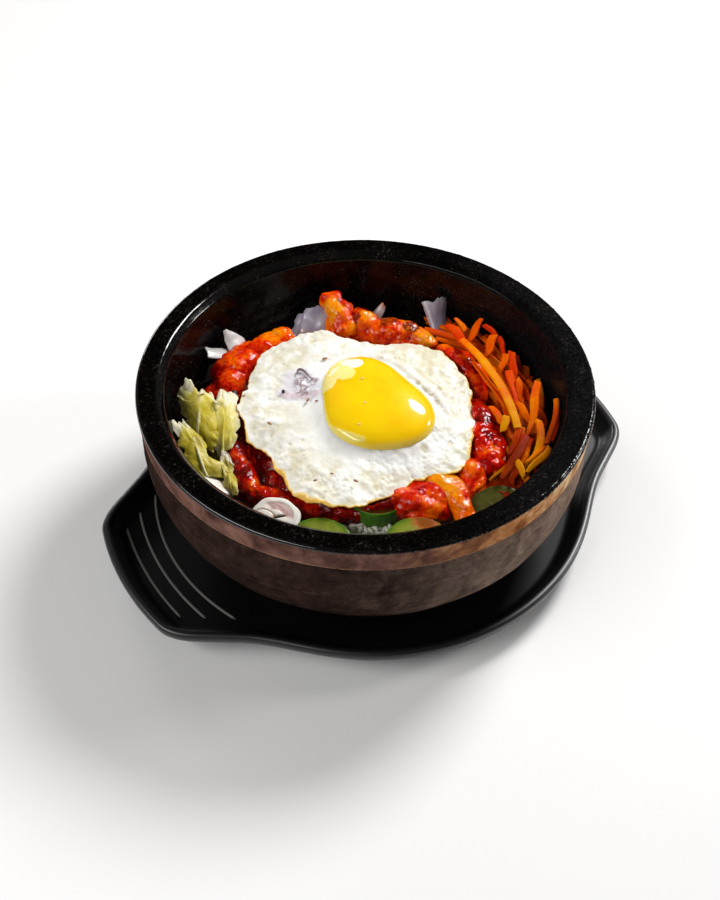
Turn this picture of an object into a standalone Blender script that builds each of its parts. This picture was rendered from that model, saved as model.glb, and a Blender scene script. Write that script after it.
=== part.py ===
# Stone bowl of mixed rice with a fried egg, on its moulded tray.
# Metres, +Z up, z = 0 on the table, the tray's middle on Z and its long axis along X.
# The food is laid out in a frame of its own on the bowl's axis, turned about Z: u to the
# right, v away, and depth below the bowl's rim. Numbers times MM are millimetres.

import math
import random

import bmesh
import bpy
from mathutils import Matrix, Vector

MM = 0.001
GAP = 0.3 * MM  # between pieces that touch
TURNED_SIDES = 44

# Stone bowl, which stands a little off the tray's middle
BOWL_PLACE = (-4.3 * MM, -0.4 * MM)
RIM_Z = 73.5 * MM
BOWL_BASE_Z = 6.5 * MM
RIM_RADIUS = 90.0 * MM
BAND_RADIUS = 89.3 * MM
BAND_DEPTH = 10.4 * MM
STEP_WIDTH = 0.8 * MM
BELLY_RADIUS = 94.3 * MM  # control point of the wall's curve
BELLY_DEPTH = 43.3 * MM
BASE_RADIUS = 65.0 * MM
MOUTH_RADIUS = 79.2 * MM
MOUTH_CHAMFER = 2.6 * MM
INNER_TAPER = 0.055
INNER_CURVE = 4.2  # per metre, how fast the inside closes in
FLOOR_DEPTH = 57.0 * MM

# Tray
TRAY_HALF_LENGTH = 115.5 * MM
TRAY_ROUND_RADIUS = 93.7 * MM
SHOULDER_REACH = 87.3 * MM  # from the centre to the wing's slanted side
SHOULDER_ANGLE = math.radians(58.1)
CORNER_BLEND = 6.6 * MM
TRAY_SIDES = 56
TRAY_FLOOR_Z = 6.2 * MM
TRAY_UNDER_Z = 2.7 * MM
LIP_Z = 14.5 * MM
SKIRT = 4.2 * MM
FOOT_OUTER = 70.0 * MM
FOOT_INNER = 62.0 * MM
RIB_WIDTH = 1.7 * MM
RIB_HEIGHT = 0.9 * MM
RIB_SHIFT = 4.0
RIBS = (  # how far out along the wing, radius of the arc, half its chord
    (91.4, 90, 37.0),
    (97.5, 113, 30.5),
    (104.5, 133, 25.0),
)

# Food frame
FOOD_TURN = math.radians(-31.7)

# Rice: radius and depth of the mound, before it is tipped towards the front
RICE_PROFILE = ((0, 18.5), (26, 20), (38, 26), (48, 33), (60, 38), (70, 42))
RICE_TIP = 0.045

# Fried egg
EGG_CENTRE = (-3.2, -0.8)
EGG_RADIUS = 47.4
EGG_WAVES = (  # how many waves round the edge, height, place of the first crest in degrees
    (2, 1.2, 158),
    (3, 2.6, 19),
    (4, 1.1, 55),
    (5, 1.8, 44),
    (8, 0.7, 10),
    (12, 0.4, 24),
)
EGG_DEPTH = 16.6
EGG_TILT = 0.06
EGG_DOME = 3.2
EGG_THICKNESS = 3.4
EGG_SIDES = 38
YOLK_CENTRE = (4.4, -1.0)
YOLK_RADII = (26.0, 21.5)
YOLK_TURN = -47
YOLK_TOP = 5.5
YOLK_BASE = 14.0
YOLK_SUNK = 1.8

# Marinated meat: each piece is a row of stations (u, v, depth of its top, half width, thickness)
MEAT = {
    "meat_left": ((-60, 16.5, 22, 8.5, 12), (-56.5, 27, 19.5, 9, 13), (-51, 35, 18.5, 8.5, 13),
                  (-43, 41, 17.5, 6.5, 12), (-34, 45.5, 16, 4, 9)),
    "meat_back_lobe": ((-16, 64, 7.5, 5.5, 8), (-13, 60, 11, 6.5, 12), (-10, 55, 15, 8, 13)),
    "meat_back": ((-4, 57, 14, 6, 15), (4, 54, 17, 6, 13), (13, 52, 17, 6.5, 13),
                  (22, 51, 18, 6, 12), (27, 46, 20, 4, 10)),
    "meat_upper_right": ((34, 38, 17, 4.5, 10), (40, 32, 17, 6, 12), (45, 25, 18, 6.5, 12),
                         (47, 17, 20, 5, 11)),
    "meat_right": ((46, 8, 19, 5, 11), (47, -2, 18, 7, 13), (48, -12, 18, 8.5, 14),
                   (50, -22, 19, 8, 14)),
    "meat_lower_right": ((42, -28, 20, 6.5, 11), (43, -35, 23, 6.5, 11), (44, -40, 27, 5, 9)),
    "meat_slab": ((29, -36, 22, 6, 8), (35, -42, 23, 6.5, 9), (40, -49, 26, 5, 8)),
    "meat_front": ((5, -39, 24, 3.5, 7), (12, -42, 23, 5.5, 10), (20, -44, 21, 9.5, 13),
                   (27, -44.5, 22, 8.5, 12)),
    "meat_long": ((-49.5, -13, 25, 6, 11), (-51.5, -21, 24, 7, 12), (-48.5, -31, 24, 7, 12),
                  (-40, -38, 24, 6.5, 12), (-31, -41, 24, 6.5, 12), (-20, -45, 25, 6, 11),
                  (-10, -46, 27, 5, 10), (-5, -45, 28, 3.5, 8)),
}
MEAT_VOXEL = 2.6 * MM

# Carrot sticks in a heap along the right wall: bearing in degrees and how high it stands
CARROT_BEARINGS = (-40, 59)
CARROT_INNER = 55.0
CARROT_STATIONS = 13

# Thin pieces: top edge, bottom edge, half widths, thickness, curl, ruffle
CABBAGE = {
    "cabbage_upper": dict(top=(-73.5, 2, 11), bottom=(-56, -12, 28), widths=(9, 12, 8),
                          thickness=3.0, curl=3, ruffle=1.4, waves=2),
    "cabbage_lower": dict(top=(-69, -27, 16), bottom=(-60, -29, 30), widths=(7, 9, 6),
                          thickness=3.0, curl=2, ruffle=1.0, waves=2),
}
ONION = {
    "onion_left_upper": dict(top=(-58.5, 46.5, 16.5), bottom=(-54.5, 40, 24), widths=(3, 4.4, 3),
                             thickness=1.8, curl=1.2),
    "onion_left_lower": dict(top=(-68, 32, 19), bottom=(-59, 36, 22), widths=(2.4, 2.7, 2.4),
                             thickness=1.8, curl=0.8),
    "onion_back_left": dict(top=(-24, 63, 17), bottom=(-25, 53, 25), widths=(6, 8, 7.5),
                            thickness=1.7, curl=2.5),
    "onion_back_sliver": dict(top=(7, 68, 19), bottom=(1, 62, 26), widths=(0.9, 2.6, 2.2),
                              thickness=1.5, curl=1.0),
    "onion_back_right": dict(top=(29.5, 66, 14.5), bottom=(33.5, 53, 27), widths=(5.6, 4.2, 3.8),
                             thickness=1.7, curl=1.6),
}

# Round slices: centre, radius or radii, thickness, bearing of the way they lean, lean
CUCUMBER = {
    "cucumber_left": dict(centre=(-16, -64, 29), radius=14, thickness=4, lean=14, faces=80),
    "cucumber_skin": dict(centre=(5.5, -38, 26.6), radius=11.5, thickness=7, lean=3, faces=-88),
    "cucumber_front": dict(centre=(21, -64, 29), radius=14, thickness=4, lean=14, faces=100),
    "cucumber_right": dict(centre=(53, -47, 29), radius=14, thickness=4, lean=24, faces=120),
}
MUSHROOM = {
    "mushroom_front": dict(centre=(-33, -52.5, 26), radii=(10, 8.5), thickness=3.2,
                           lean=25, bearing=-90),
    "mushroom_left": dict(centre=(-58, -38, 27.5), radii=(10, 7), thickness=3.2,
                          lean=32, bearing=40),
}

COLOURS = {
    "stone": ((0.055, 0.042, 0.036), 0.45),
    "melamine": ((0.012, 0.012, 0.013), 0.35),
    "rice": ((0.86, 0.83, 0.76), 0.55),
    "egg": ((0.93, 0.92, 0.87), 0.35),
    "yolk": ((0.98, 0.68, 0.02), 0.2),
    "meat": ((0.55, 0.04, 0.01), 0.25),
    "carrot": ((0.9, 0.28, 0.02), 0.4),
    "cabbage": ((0.68, 0.66, 0.25), 0.4),
    "onion": ((0.78, 0.77, 0.82), 0.3),
    "cucumber": ((0.18, 0.42, 0.06), 0.35),
    "mushroom": ((0.86, 0.8, 0.73), 0.5),
}


def clear_scene():
    for obj in list(bpy.data.objects):
        bpy.data.objects.remove(obj, do_unlink=True)


def new_collection(name):
    collection = bpy.data.collections.new(name)
    bpy.context.scene.collection.children.link(collection)
    return collection


def finish(name):
    colour, roughness = COLOURS[name]
    material = bpy.data.materials.get(name)
    if material is None:
        material = bpy.data.materials.new(name)
        material.use_nodes = True
        shader = material.node_tree.nodes["Principled BSDF"]
        shader.inputs["Base Color"].default_value = (*colour, 1)
        shader.inputs["Roughness"].default_value = roughness
        shader.inputs["Metallic"].default_value = 0
    return material


def object_of(bm, name, material, collection, parent=None):
    """Links the bmesh as a named, smooth-shaded object."""
    bmesh.ops.recalc_face_normals(bm, faces=bm.faces[:])
    mesh = bpy.data.meshes.new(name)
    bm.to_mesh(mesh)
    bm.free()
    mesh.shade_smooth()
    mesh.set_sharp_from_angle(angle=math.radians(40))
    if material:
        mesh.materials.append(finish(material))
    obj = bpy.data.objects.new(name, mesh)
    collection.objects.link(obj)
    obj.parent = parent
    return obj


def as_cutter(obj):
    obj.hide_render = True
    obj.display_type = "WIRE"
    return obj


def freeze(obj):
    """Gives the object its evaluated shape as its own mesh, keeping its largest body."""
    bpy.context.view_layer.update()
    graph = bpy.context.evaluated_depsgraph_get()
    shaped = bpy.data.meshes.new_from_object(obj.evaluated_get(graph))
    obj.modifiers.clear()
    obj.data = shaped
    bm = bmesh.new()
    bm.from_mesh(shaped)
    bmesh.ops.remove_doubles(bm, verts=bm.verts, dist=0.02 * MM)
    unseen = set(bm.faces)
    bodies = []
    while unseen:
        body, front = set(), {unseen.pop()}
        while front:
            body |= front
            front = {f for face in front for e in face.edges for f in e.link_faces} - body
        unseen -= body
        bodies.append(body)
    bodies.sort(key=lambda body: sum(face.calc_area() for face in body))
    spare = [face for body in bodies[:-1] for face in body]
    bmesh.ops.delete(bm, geom=spare, context="FACES")
    bm.to_mesh(shaped)
    bm.free()


def boolean(obj, other, operation="DIFFERENCE"):
    step = obj.modifiers.new(f"{operation.lower()}_{other.name}", "BOOLEAN")
    step.operation = operation
    step.object = other
    step.solver = "EXACT"
    step.use_self = operation == "DIFFERENCE"


def boxes_meet(a, b):
    """Whether the boxes of two objects of the same frame touch."""
    spans = []
    for obj in (a, b):
        points = [vertex.co for vertex in obj.data.vertices]
        spans.append([(min(p[i] for p in points), max(p[i] for p in points)) for i in range(3)])
    return all(low <= high2 + GAP and low2 <= high + GAP
               for (low, high), (low2, high2) in zip(*spans))


def swollen(obj):
    """A cutter that stands one gap proud of the object all over."""
    copy = obj.copy()
    copy.data = obj.data.copy()
    copy.name = f"room_for_{obj.name}"
    CUTTERS.objects.link(copy)
    swell = copy.modifiers.new("swell", "DISPLACE")
    swell.strength = 1.3 * GAP
    swell.mid_level = 0
    return as_cutter(copy)


def settle(obj, placed, cavity=None):
    """Cuts the object to the bowl's inside and to the pieces already in place."""
    ROOM[obj.name] = swollen(obj)
    if cavity:
        boolean(obj, cavity, "INTERSECT")
    for other in placed:
        if boxes_meet(obj, other):
            boolean(obj, ROOM[other.name])
    freeze(obj)
    placed.append(obj)


# ---- bowl

def inner_radius(depth):
    return MOUTH_RADIUS - INNER_TAPER * depth - INNER_CURVE * depth * depth


def inside_profile(inset):
    """The bowl's inside from the floor's centre to the chamfer, as (radius, depth)."""
    depths = [FLOOR_DEPTH - drop * MM for drop in (2.5, 9, 20, 38)] + [MOUTH_CHAMFER]
    wall = [(inner_radius(depth) - inset, depth) for depth in depths]
    floor = FLOOR_DEPTH - inset
    return [(0, floor), (wall[0][0] - 7 * MM, floor), *wall]


def belly(t):
    start = Vector((BAND_RADIUS - STEP_WIDTH, BAND_DEPTH + 0.5 * MM))
    control = Vector((BELLY_RADIUS, BELLY_DEPTH))
    end = Vector((BASE_RADIUS, RIM_Z - BOWL_BASE_Z))
    return start * (1 - t) ** 2 + control * 2 * t * (1 - t) + end * t * t


def turned(name, profile, material, collection, sides=TURNED_SIDES):
    """A profile of (radius, depth) turned about the bowl's axis."""
    bm = bmesh.new()
    row = [bm.verts.new((radius, 0, RIM_Z - depth)) for radius, depth in profile]
    for a, b in zip(row, row[1:]):
        bm.edges.new((a, b))
    mesh = bpy.data.meshes.new(name)
    bm.to_mesh(mesh)
    bm.free()
    obj = bpy.data.objects.new(name, mesh)
    collection.objects.link(obj)
    if material:
        mesh.materials.append(finish(material))
    screw = obj.modifiers.new("turn", "SCREW")
    screw.steps = sides
    screw.render_steps = sides
    screw.use_merge_vertices = True
    screw.merge_threshold = 0.01 * MM
    obj.location = (*BOWL_PLACE, 0)
    return obj


def stone_bowl():
    rim = [
        (MOUTH_RADIUS + 2.4 * MM, 0.5 * MM),
        (MOUTH_RADIUS + 4.0 * MM, 0),
        (RIM_RADIUS - 2.2 * MM, 0),
        (RIM_RADIUS - 0.6 * MM, 0.7 * MM),
        (RIM_RADIUS, 2.2 * MM),
        (BAND_RADIUS, BAND_DEPTH),
    ]
    wall = [tuple(belly(i / 5)) for i in range(6)]
    base = [(0, RIM_Z - BOWL_BASE_Z)]
    bowl = turned("stone_bowl", inside_profile(0) + rim + wall + base, "stone", PARTS)
    freeze(bowl)
    return bowl


# ---- tray

def blend_low(a, b, width):
    share = min(max(0.5 + 0.5 * (b - a) / width, 0), 1)
    return b + (a - b) * share - width * share * (1 - share)


def tray_radius(angle):
    """The tray's outline: a circle with two blunt wings along X."""
    folded = math.atan2(abs(math.sin(angle)), abs(math.cos(angle)))
    side = SHOULDER_REACH / math.cos(min(folded - SHOULDER_ANGLE, 0))
    wing = blend_low(TRAY_HALF_LENGTH, side, CORNER_BLEND)
    return -blend_low(-TRAY_ROUND_RADIUS, -wing, CORNER_BLEND)


def tray_point(angle, inset=0.0):
    """A point on the outline, moved square inwards by inset."""
    step = 0.002
    radius = tray_radius(angle)
    slope = (tray_radius(angle + step) - tray_radius(angle - step)) / (2 * step)
    out = Vector((math.cos(angle), math.sin(angle)))
    along = Vector((-math.sin(angle), math.cos(angle)))
    normal = (out * radius - along * slope).normalized()
    return out * radius - normal * inset


def tray_angles():
    """Angles round the tray, closer together where the outline turns."""
    fine = [2 * math.pi * i / 2880 for i in range(2880)]
    points = [tray_point(angle) for angle in fine]
    weights = [0.0]
    for i in range(1, len(fine) + 1):
        a, b, c = (points[(i + k) % len(points)] for k in (-1, 0, 1))
        turn = (b - a).angle(c - b, 0)
        weights.append(weights[-1] + (b - a).length + turn * 22 * MM)
    chosen = []
    for k in range(TRAY_SIDES):
        want = weights[-1] * k / TRAY_SIDES
        chosen.append(fine[next(i for i, w in enumerate(weights) if w >= want)])
    return chosen


def rib_body(reach, radius, half_chord, side):
    """One raised arc on a wing, a low ridge with a flat top, sunk a little into the floor."""
    bm = bmesh.new()
    rings = []
    pieces = 5
    for i in range(pieces + 1):
        chord = half_chord * (2 * i / pieces - 1)
        x = (reach - radius + math.sqrt(radius**2 - chord**2)) * MM
        y = (chord + RIB_SHIFT) * MM
        end = 0.35 if i in (0, pieces) else 1.0
        ring = []
        for across, z in ((-1, -1.0 * MM), (1, -1.0 * MM), (0.45, RIB_HEIGHT * end),
                          (-0.45, RIB_HEIGHT * end)):
            ring.append(bm.verts.new((side * (x + across * RIB_WIDTH / 2), side * -y,
                                      TRAY_FLOOR_Z + z)))
        rings.append(ring)
    for a, b in zip(rings, rings[1:]):
        for k in range(4):
            bm.faces.new((a[k], a[(k + 1) % 4], b[(k + 1) % 4], b[k]))
    bm.faces.new(rings[0])
    bm.faces.new(rings[-1])
    return as_cutter(object_of(bm, "rib", None, CUTTERS))


def tray():
    angles = tray_angles()
    bm = bmesh.new()

    def edge_ring(inset, z):
        return [bm.verts.new((*tray_point(angle, inset), z)) for angle in angles]

    def foot_ring(radius, z):
        return [bm.verts.new((radius * math.cos(angle), radius * math.sin(angle), z))
                for angle in angles]

    rings = [
        edge_ring(9.0 * MM, TRAY_FLOOR_Z),
        edge_ring(3.6 * MM, LIP_Z - 0.9 * MM),
        edge_ring(2.6 * MM, LIP_Z),
        edge_ring(0.8 * MM, LIP_Z - 0.1 * MM),
        edge_ring(0.0, LIP_Z - 1.2 * MM),
        edge_ring(0.3 * MM, LIP_Z - SKIRT),
        edge_ring(1.8 * MM, LIP_Z - SKIRT - 0.4 * MM),
        edge_ring(9.0 * MM, TRAY_UNDER_Z),
        foot_ring(FOOT_OUTER + 0.8 * MM, TRAY_UNDER_Z),
        foot_ring(FOOT_OUTER, 0),
        foot_ring(FOOT_INNER, 0),
        foot_ring(FOOT_INNER - 0.8 * MM, TRAY_UNDER_Z),
    ]
    for a, b in zip(rings, rings[1:]):
        for i in range(len(angles)):
            j = (i + 1) % len(angles)
            bm.faces.new((a[i], a[j], b[j], b[i]))
    bm.faces.new(rings[0])
    bm.faces.new(rings[-1])
    body = object_of(bm, "tray", "melamine", PARTS)
    for reach, radius, half_chord in RIBS:
        for side in (-1, 1):
            boolean(body, rib_body(reach, radius, half_chord, side), "UNION")
    freeze(body)
    return body


# ---- food, in the turned frame

def spot(u, v, depth):
    return Vector((u * MM, v * MM, RIM_Z - depth * MM))


def polar_solid(name, material, sides, outline, shares, top, bottom, centre=(0, 0)):
    """A closed body between two height fields over the same outline, in millimetres."""
    bm = bmesh.new()
    rows = []
    for share, surface in [(s, top) for s in shares] + [(1, bottom), (0.6, bottom)]:
        row = []
        for i in range(sides):
            angle = 2 * math.pi * i / sides
            reach = outline(angle) * share
            u = centre[0] + reach * math.cos(angle)
            v = centre[1] + reach * math.sin(angle)
            row.append(bm.verts.new(spot(u, v, surface(u, v, share, angle))))
        rows.append(row)
    for a, b in zip(rows, rows[1:]):
        for i in range(sides):
            j = (i + 1) % sides
            bm.faces.new((a[i], a[j], b[j], b[i]))
    for row, surface in ((rows[0], top), (rows[-1], bottom)):
        middle = bm.verts.new(spot(*centre, surface(*centre, 0, 0)))
        for i in range(sides):
            bm.faces.new((middle, row[i], row[(i + 1) % sides]))
    return object_of(bm, name, material, PARTS, FOOD)


def rice_depth(u, v):
    radius = math.hypot(u, v)
    for (r0, d0), (r1, d1) in zip(RICE_PROFILE, RICE_PROFILE[1:]):
        if radius <= r1:
            break
    return d0 + (d1 - d0) * (radius - r0) / (r1 - r0) + RICE_TIP * v * radius / 70


def rice_bed():
    rng = random.Random(4)
    bumps = [(rng.uniform(0, 6.28), rng.uniform(0.6, 1.2)) for _ in range(3)]

    def top(u, v, share, angle):
        bump = sum(size * math.sin(angle * (k + 3) + phase) * share
                   for k, (phase, size) in enumerate(bumps))
        return rice_depth(u, v) + bump

    def bottom(u, v, share, angle):
        return 62
    return polar_solid("rice_bed", "rice", 32, lambda angle: 76, (0.38, 0.56, 0.7, 0.84, 1),
                       top, bottom)


def egg_outline(angle):
    return EGG_RADIUS + sum(
        height * math.cos(count * (angle - math.radians(crest)))
        for count, height, crest in EGG_WAVES
    )


def egg_top(u, v, share, angle):
    plane = EGG_DEPTH - EGG_TILT * (v - EGG_CENTRE[1])
    dome = EGG_DOME * math.exp(-((share / 0.6) ** 2))
    droop = 1.4 * share**6
    wave = 0.8 * share**3 * math.sin(5 * angle + 1) + 0.5 * share**3 * math.sin(9 * angle)
    return plane - dome + droop + wave


def egg_bottom(u, v, share, angle):
    return egg_top(u, v, share, angle) + EGG_THICKNESS * (1 - 0.55 * share**4)


def egg_white():
    return polar_solid("egg_white", "egg", EGG_SIDES, egg_outline, (0.4, 0.65, 0.82, 0.94, 1),
                       egg_top, egg_bottom, EGG_CENTRE)


def yolk():
    bm = bmesh.new()
    bmesh.ops.create_uvsphere(bm, u_segments=24, v_segments=10, radius=1)
    tip = YOLK_BASE - YOLK_TOP
    for vertex in bm.verts:
        x, y, z = vertex.co
        z = z * tip if z > 0 else z * YOLK_SUNK
        vertex.co = Vector((x * YOLK_RADII[0], y * YOLK_RADII[1], z)) * MM
    turn = Matrix.Rotation(math.radians(YOLK_TURN), 4, "Z")
    bmesh.ops.transform(bm, matrix=Matrix.Translation(spot(*YOLK_CENTRE, YOLK_BASE)) @ turn,
                        verts=bm.verts)
    return object_of(bm, "yolk", "yolk", PARTS, FOOD)


def between(stations, steps):
    """Evenly blended stations along a row of them."""
    for a, b in zip(stations, stations[1:]):
        for k in range(steps):
            yield [x + (y - x) * k / steps for x, y in zip(a, b)]
    yield list(stations[-1])


def meat_piece(name, stations, seed):
    """Lumps along a spine, melted into one body."""
    rng = random.Random(seed)
    bm = bmesh.new()
    for u, v, top, half, thickness in between(stations, 2):
        swell = rng.uniform(0.9, 1.12)
        middle = spot(u + rng.uniform(-0.8, 0.8), v + rng.uniform(-0.8, 0.8),
                      top + thickness / 2)
        shape = Matrix.Diagonal((half * swell * MM, half * swell * MM,
                                 thickness / 2 * MM, 1))
        bmesh.ops.create_icosphere(bm, subdivisions=2, radius=1,
                                   matrix=Matrix.Translation(middle) @ shape)
    piece = object_of(bm, name, "meat", PARTS, FOOD)
    melt = piece.modifiers.new("melt", "REMESH")
    melt.mode = "VOXEL"
    melt.voxel_size = MEAT_VOXEL
    relax = piece.modifiers.new("relax", "SMOOTH")
    relax.factor = 0.6
    relax.iterations = 2
    thin = piece.modifiers.new("thin", "DECIMATE")
    thin.ratio = 0.36
    freeze(piece)
    return piece


def carrot_heap():
    """A ridge of sticks against the wall, uneven along its top."""
    rng = random.Random(11)
    bm = bmesh.new()
    rings = []
    start, end = CARROT_BEARINGS
    for i in range(CARROT_STATIONS):
        t = i / (CARROT_STATIONS - 1)
        angle = math.radians(start + (end - start) * t)
        fullness = math.sin(math.pi * min(max(t, 0.06), 0.94)) ** 0.4
        inner = CARROT_INNER + 9 * (1 - fullness) + rng.uniform(-1, 1)
        rise = rng.uniform(-2.2, 2.2)
        section = (
            (inner, 40),
            (inner, 25 + 4 * (1 - fullness)),
            (inner + 5, 20.5 + rise * 0.6 + 5 * (1 - fullness)),
            (68, 18 + rise + 5 * (1 - fullness)),
            (79, 22 - rise + 5 * (1 - fullness)),
            (79, 50),
        )
        rings.append([bm.verts.new(spot(r * math.cos(angle), r * math.sin(angle), d))
                      for r, d in section])
    for a, b in zip(rings, rings[1:]):
        for k in range(len(a)):
            m = (k + 1) % len(a)
            bm.faces.new((a[k], a[m], b[m], b[k]))
    bm.faces.new(rings[0])
    bm.faces.new(rings[-1])
    return object_of(bm, "carrot_heap", "carrot", PARTS, FOOD)


def thin_piece(name, material, top, bottom, widths, thickness, curl, ruffle=0.0, waves=0,
               across=5, down=5):
    """A curved strip from its top edge down to its bottom edge, thickened."""
    start, end = spot(*top), spot(*bottom)
    fall = end - start
    side = fall.cross(Vector((0, 0, 1))).normalized()
    normal = side.cross(fall).normalized()
    bm = bmesh.new()
    bmesh.ops.create_grid(bm, x_segments=across, y_segments=down, size=1)
    for vertex in bm.verts:
        x, y = vertex.co.x, (vertex.co.y + 1) / 2
        half = widths[0] * (1 - y) * (1 - 2 * y) + widths[1] * 4 * y * (1 - y)
        half += widths[2] * y * (2 * y - 1)
        lift = curl * x * x + ruffle * math.sin(waves * math.pi * (x + y * 0.7))
        vertex.co = start + fall * y + side * x * half * MM - normal * lift * MM
    piece = object_of(bm, name, material, PARTS, FOOD)
    shell = piece.modifiers.new("thickness", "SOLIDIFY")
    shell.thickness = thickness * MM
    shell.offset = 0
    freeze(piece)
    return piece


def leaned(centre, lean, bearing):
    """Places a flat piece and tips it down towards its bearing."""
    direction = math.radians(bearing)
    axis = Vector((-math.sin(direction), math.cos(direction), 0))
    return Matrix.Translation(spot(*centre)) @ Matrix.Rotation(math.radians(lean), 4, axis)


def cucumber_slice(name, centre, radius, thickness, lean, faces):
    """Half of a round slice, with its skin towards the bearing it faces."""
    bm = bmesh.new()
    bmesh.ops.create_cone(bm, cap_ends=True, segments=26, radius1=radius * MM,
                          radius2=radius * MM, depth=thickness * MM)
    cut = bmesh.ops.bisect_plane(bm, geom=bm.verts[:] + bm.edges[:] + bm.faces[:],
                                 plane_co=(-0.12 * radius * MM, 0, 0), plane_no=(1, 0, 0),
                                 clear_inner=True)
    edges = [item for item in cut["geom_cut"] if isinstance(item, bmesh.types.BMEdge)]
    bmesh.ops.holes_fill(bm, edges=edges, sides=0)
    turn = Matrix.Rotation(math.radians(faces), 4, "Z")
    bmesh.ops.transform(bm, matrix=leaned(centre, lean, -90) @ turn, verts=bm.verts)
    return object_of(bm, name, "cucumber", PARTS, FOOD)


def mushroom_slice(name, centre, radii, thickness, lean, bearing):
    """A flat ring with a small eye, as wide and long as its two radii."""
    bm = bmesh.new()
    round_sides, section_sides = 18, 6
    rows = []
    for i in range(round_sides):
        angle = 2 * math.pi * i / round_sides
        row = []
        for k in range(section_sides):
            turn = 2 * math.pi * (k + 0.5) / section_sides
            reach = 0.63 + 0.37 * math.cos(turn) / math.cos(math.pi / section_sides)
            row.append(bm.verts.new((radii[0] * reach * math.cos(angle) * MM,
                                     radii[1] * reach * math.sin(angle) * MM,
                                     thickness * 0.57 * math.sin(turn) * MM)))
        rows.append(row)
    for i in range(round_sides):
        a, b = rows[i], rows[(i + 1) % round_sides]
        for k in range(section_sides):
            m = (k + 1) % section_sides
            bm.faces.new((a[k], a[m], b[m], b[k]))
    bmesh.ops.transform(bm, matrix=leaned(centre, lean, bearing), verts=bm.verts)
    return object_of(bm, name, "mushroom", PARTS, FOOD)


clear_scene()
PARTS = new_collection("bibimbap")
CUTTERS = new_collection("cutters")
ROOM = {}  # swollen copy of each piece, by the piece's name

stone_bowl()
tray()

FOOD = bpy.data.objects.new("food_frame", None)
FOOD.location = (*BOWL_PLACE, 0)
FOOD.rotation_euler.z = FOOD_TURN
PARTS.objects.link(FOOD)

cavity_profile = inside_profile(GAP) + [(MOUTH_RADIUS - GAP, -20 * MM), (0, -20 * MM)]
cavity = as_cutter(turned("cavity", cavity_profile[::-1], None, CUTTERS))
freeze(cavity)

in_place = []
settle(yolk(), in_place)
settle(rice_bed(), in_place, cavity)
settle(egg_white(), in_place)
for label, shape in CUCUMBER.items():
    settle(cucumber_slice(label, **shape), in_place, cavity)
for number, (label, stations) in enumerate(MEAT.items()):
    settle(meat_piece(label, stations, number), in_place, cavity)
for label, shape in ONION.items():
    settle(thin_piece(label, "onion", across=3, down=3, **shape), in_place, cavity)
for label, shape in MUSHROOM.items():
    settle(mushroom_slice(label, **shape), in_place, cavity)
for label, shape in CABBAGE.items():
    settle(thin_piece(label, "cabbage", **shape), in_place, cavity)
settle(carrot_heap(), in_place, cavity)
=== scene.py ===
import itertools
import math

import bpy
import numpy as np
from mathutils import Matrix, Vector
from mathutils.bvhtree import BVHTree


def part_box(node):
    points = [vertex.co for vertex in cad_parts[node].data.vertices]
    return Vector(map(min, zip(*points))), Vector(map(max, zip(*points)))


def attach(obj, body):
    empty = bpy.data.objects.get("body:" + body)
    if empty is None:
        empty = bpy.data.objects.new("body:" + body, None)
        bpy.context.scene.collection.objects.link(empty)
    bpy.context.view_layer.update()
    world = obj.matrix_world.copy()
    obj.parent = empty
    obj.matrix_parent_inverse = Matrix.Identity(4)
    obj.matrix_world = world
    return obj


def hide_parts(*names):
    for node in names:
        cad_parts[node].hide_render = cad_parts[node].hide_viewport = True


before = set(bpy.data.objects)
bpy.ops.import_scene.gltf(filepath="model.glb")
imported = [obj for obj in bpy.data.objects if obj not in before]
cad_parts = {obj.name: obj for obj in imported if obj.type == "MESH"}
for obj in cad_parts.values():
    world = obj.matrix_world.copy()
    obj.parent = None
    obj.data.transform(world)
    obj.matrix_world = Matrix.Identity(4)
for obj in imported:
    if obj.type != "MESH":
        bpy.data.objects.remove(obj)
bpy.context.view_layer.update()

# The food is laid out on the bowl's axis, turned to face the camera: u to the right, v away,
# and depth below the rim, all in millimetres.
bowlLow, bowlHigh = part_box("stone_bowl")
axisX = (bowlLow.x + bowlHigh.x) / 2
axisY = (bowlLow.y + bowlHigh.y) / 2
rimZ = bowlHigh.z
rimRadius = (bowlHigh.x - bowlLow.x) * 500
foodTurn = math.radians(-31.7)


def turned(x, y, angle):
    return x * math.cos(angle) - y * math.sin(angle), x * math.sin(angle) + y * math.cos(angle)


def inFood(points):
    # millimetres in the food's own directions to metres in the scene's
    u, v, depth = np.asarray(points, float).T
    x, y = turned(u, v, foodTurn)
    return np.stack([axisX + x / 1000, axisY + y / 1000, rimZ - depth / 1000], 1)


def toFood(points):
    x, y, z = np.asarray(points, float).T
    u, v = turned((x - axisX) * 1000, (y - axisY) * 1000, -foodTurn)
    return np.stack([u, v, (rimZ - z) * 1000], 1)


def upsideDown(points):
    # depth to height, or back
    return points * (1, 1, -1)


def unit(vectors):
    return vectors / np.maximum(np.linalg.norm(vectors, axis=-1, keepdims=True), 1e-12)


# noise on points, in millimetres

def lattice(cell, seed):
    # a value from 0 to 1 that is always the same for a cell and a seed
    x, y, z = cell.astype(np.int64).T
    mixed = (x * 73856093) ^ (y * 19349663) ^ (z * 83492791) ^ (seed * 2654435 + 911)
    mixed = ((mixed ^ (mixed >> 13)) * 1274126177) & 0xFFFFFFFF
    mixed = ((mixed ^ (mixed >> 15)) * 668265263) & 0xFFFFFFFF
    return ((mixed ^ (mixed >> 16)) & 0xFFFF) / 65535.0


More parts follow.
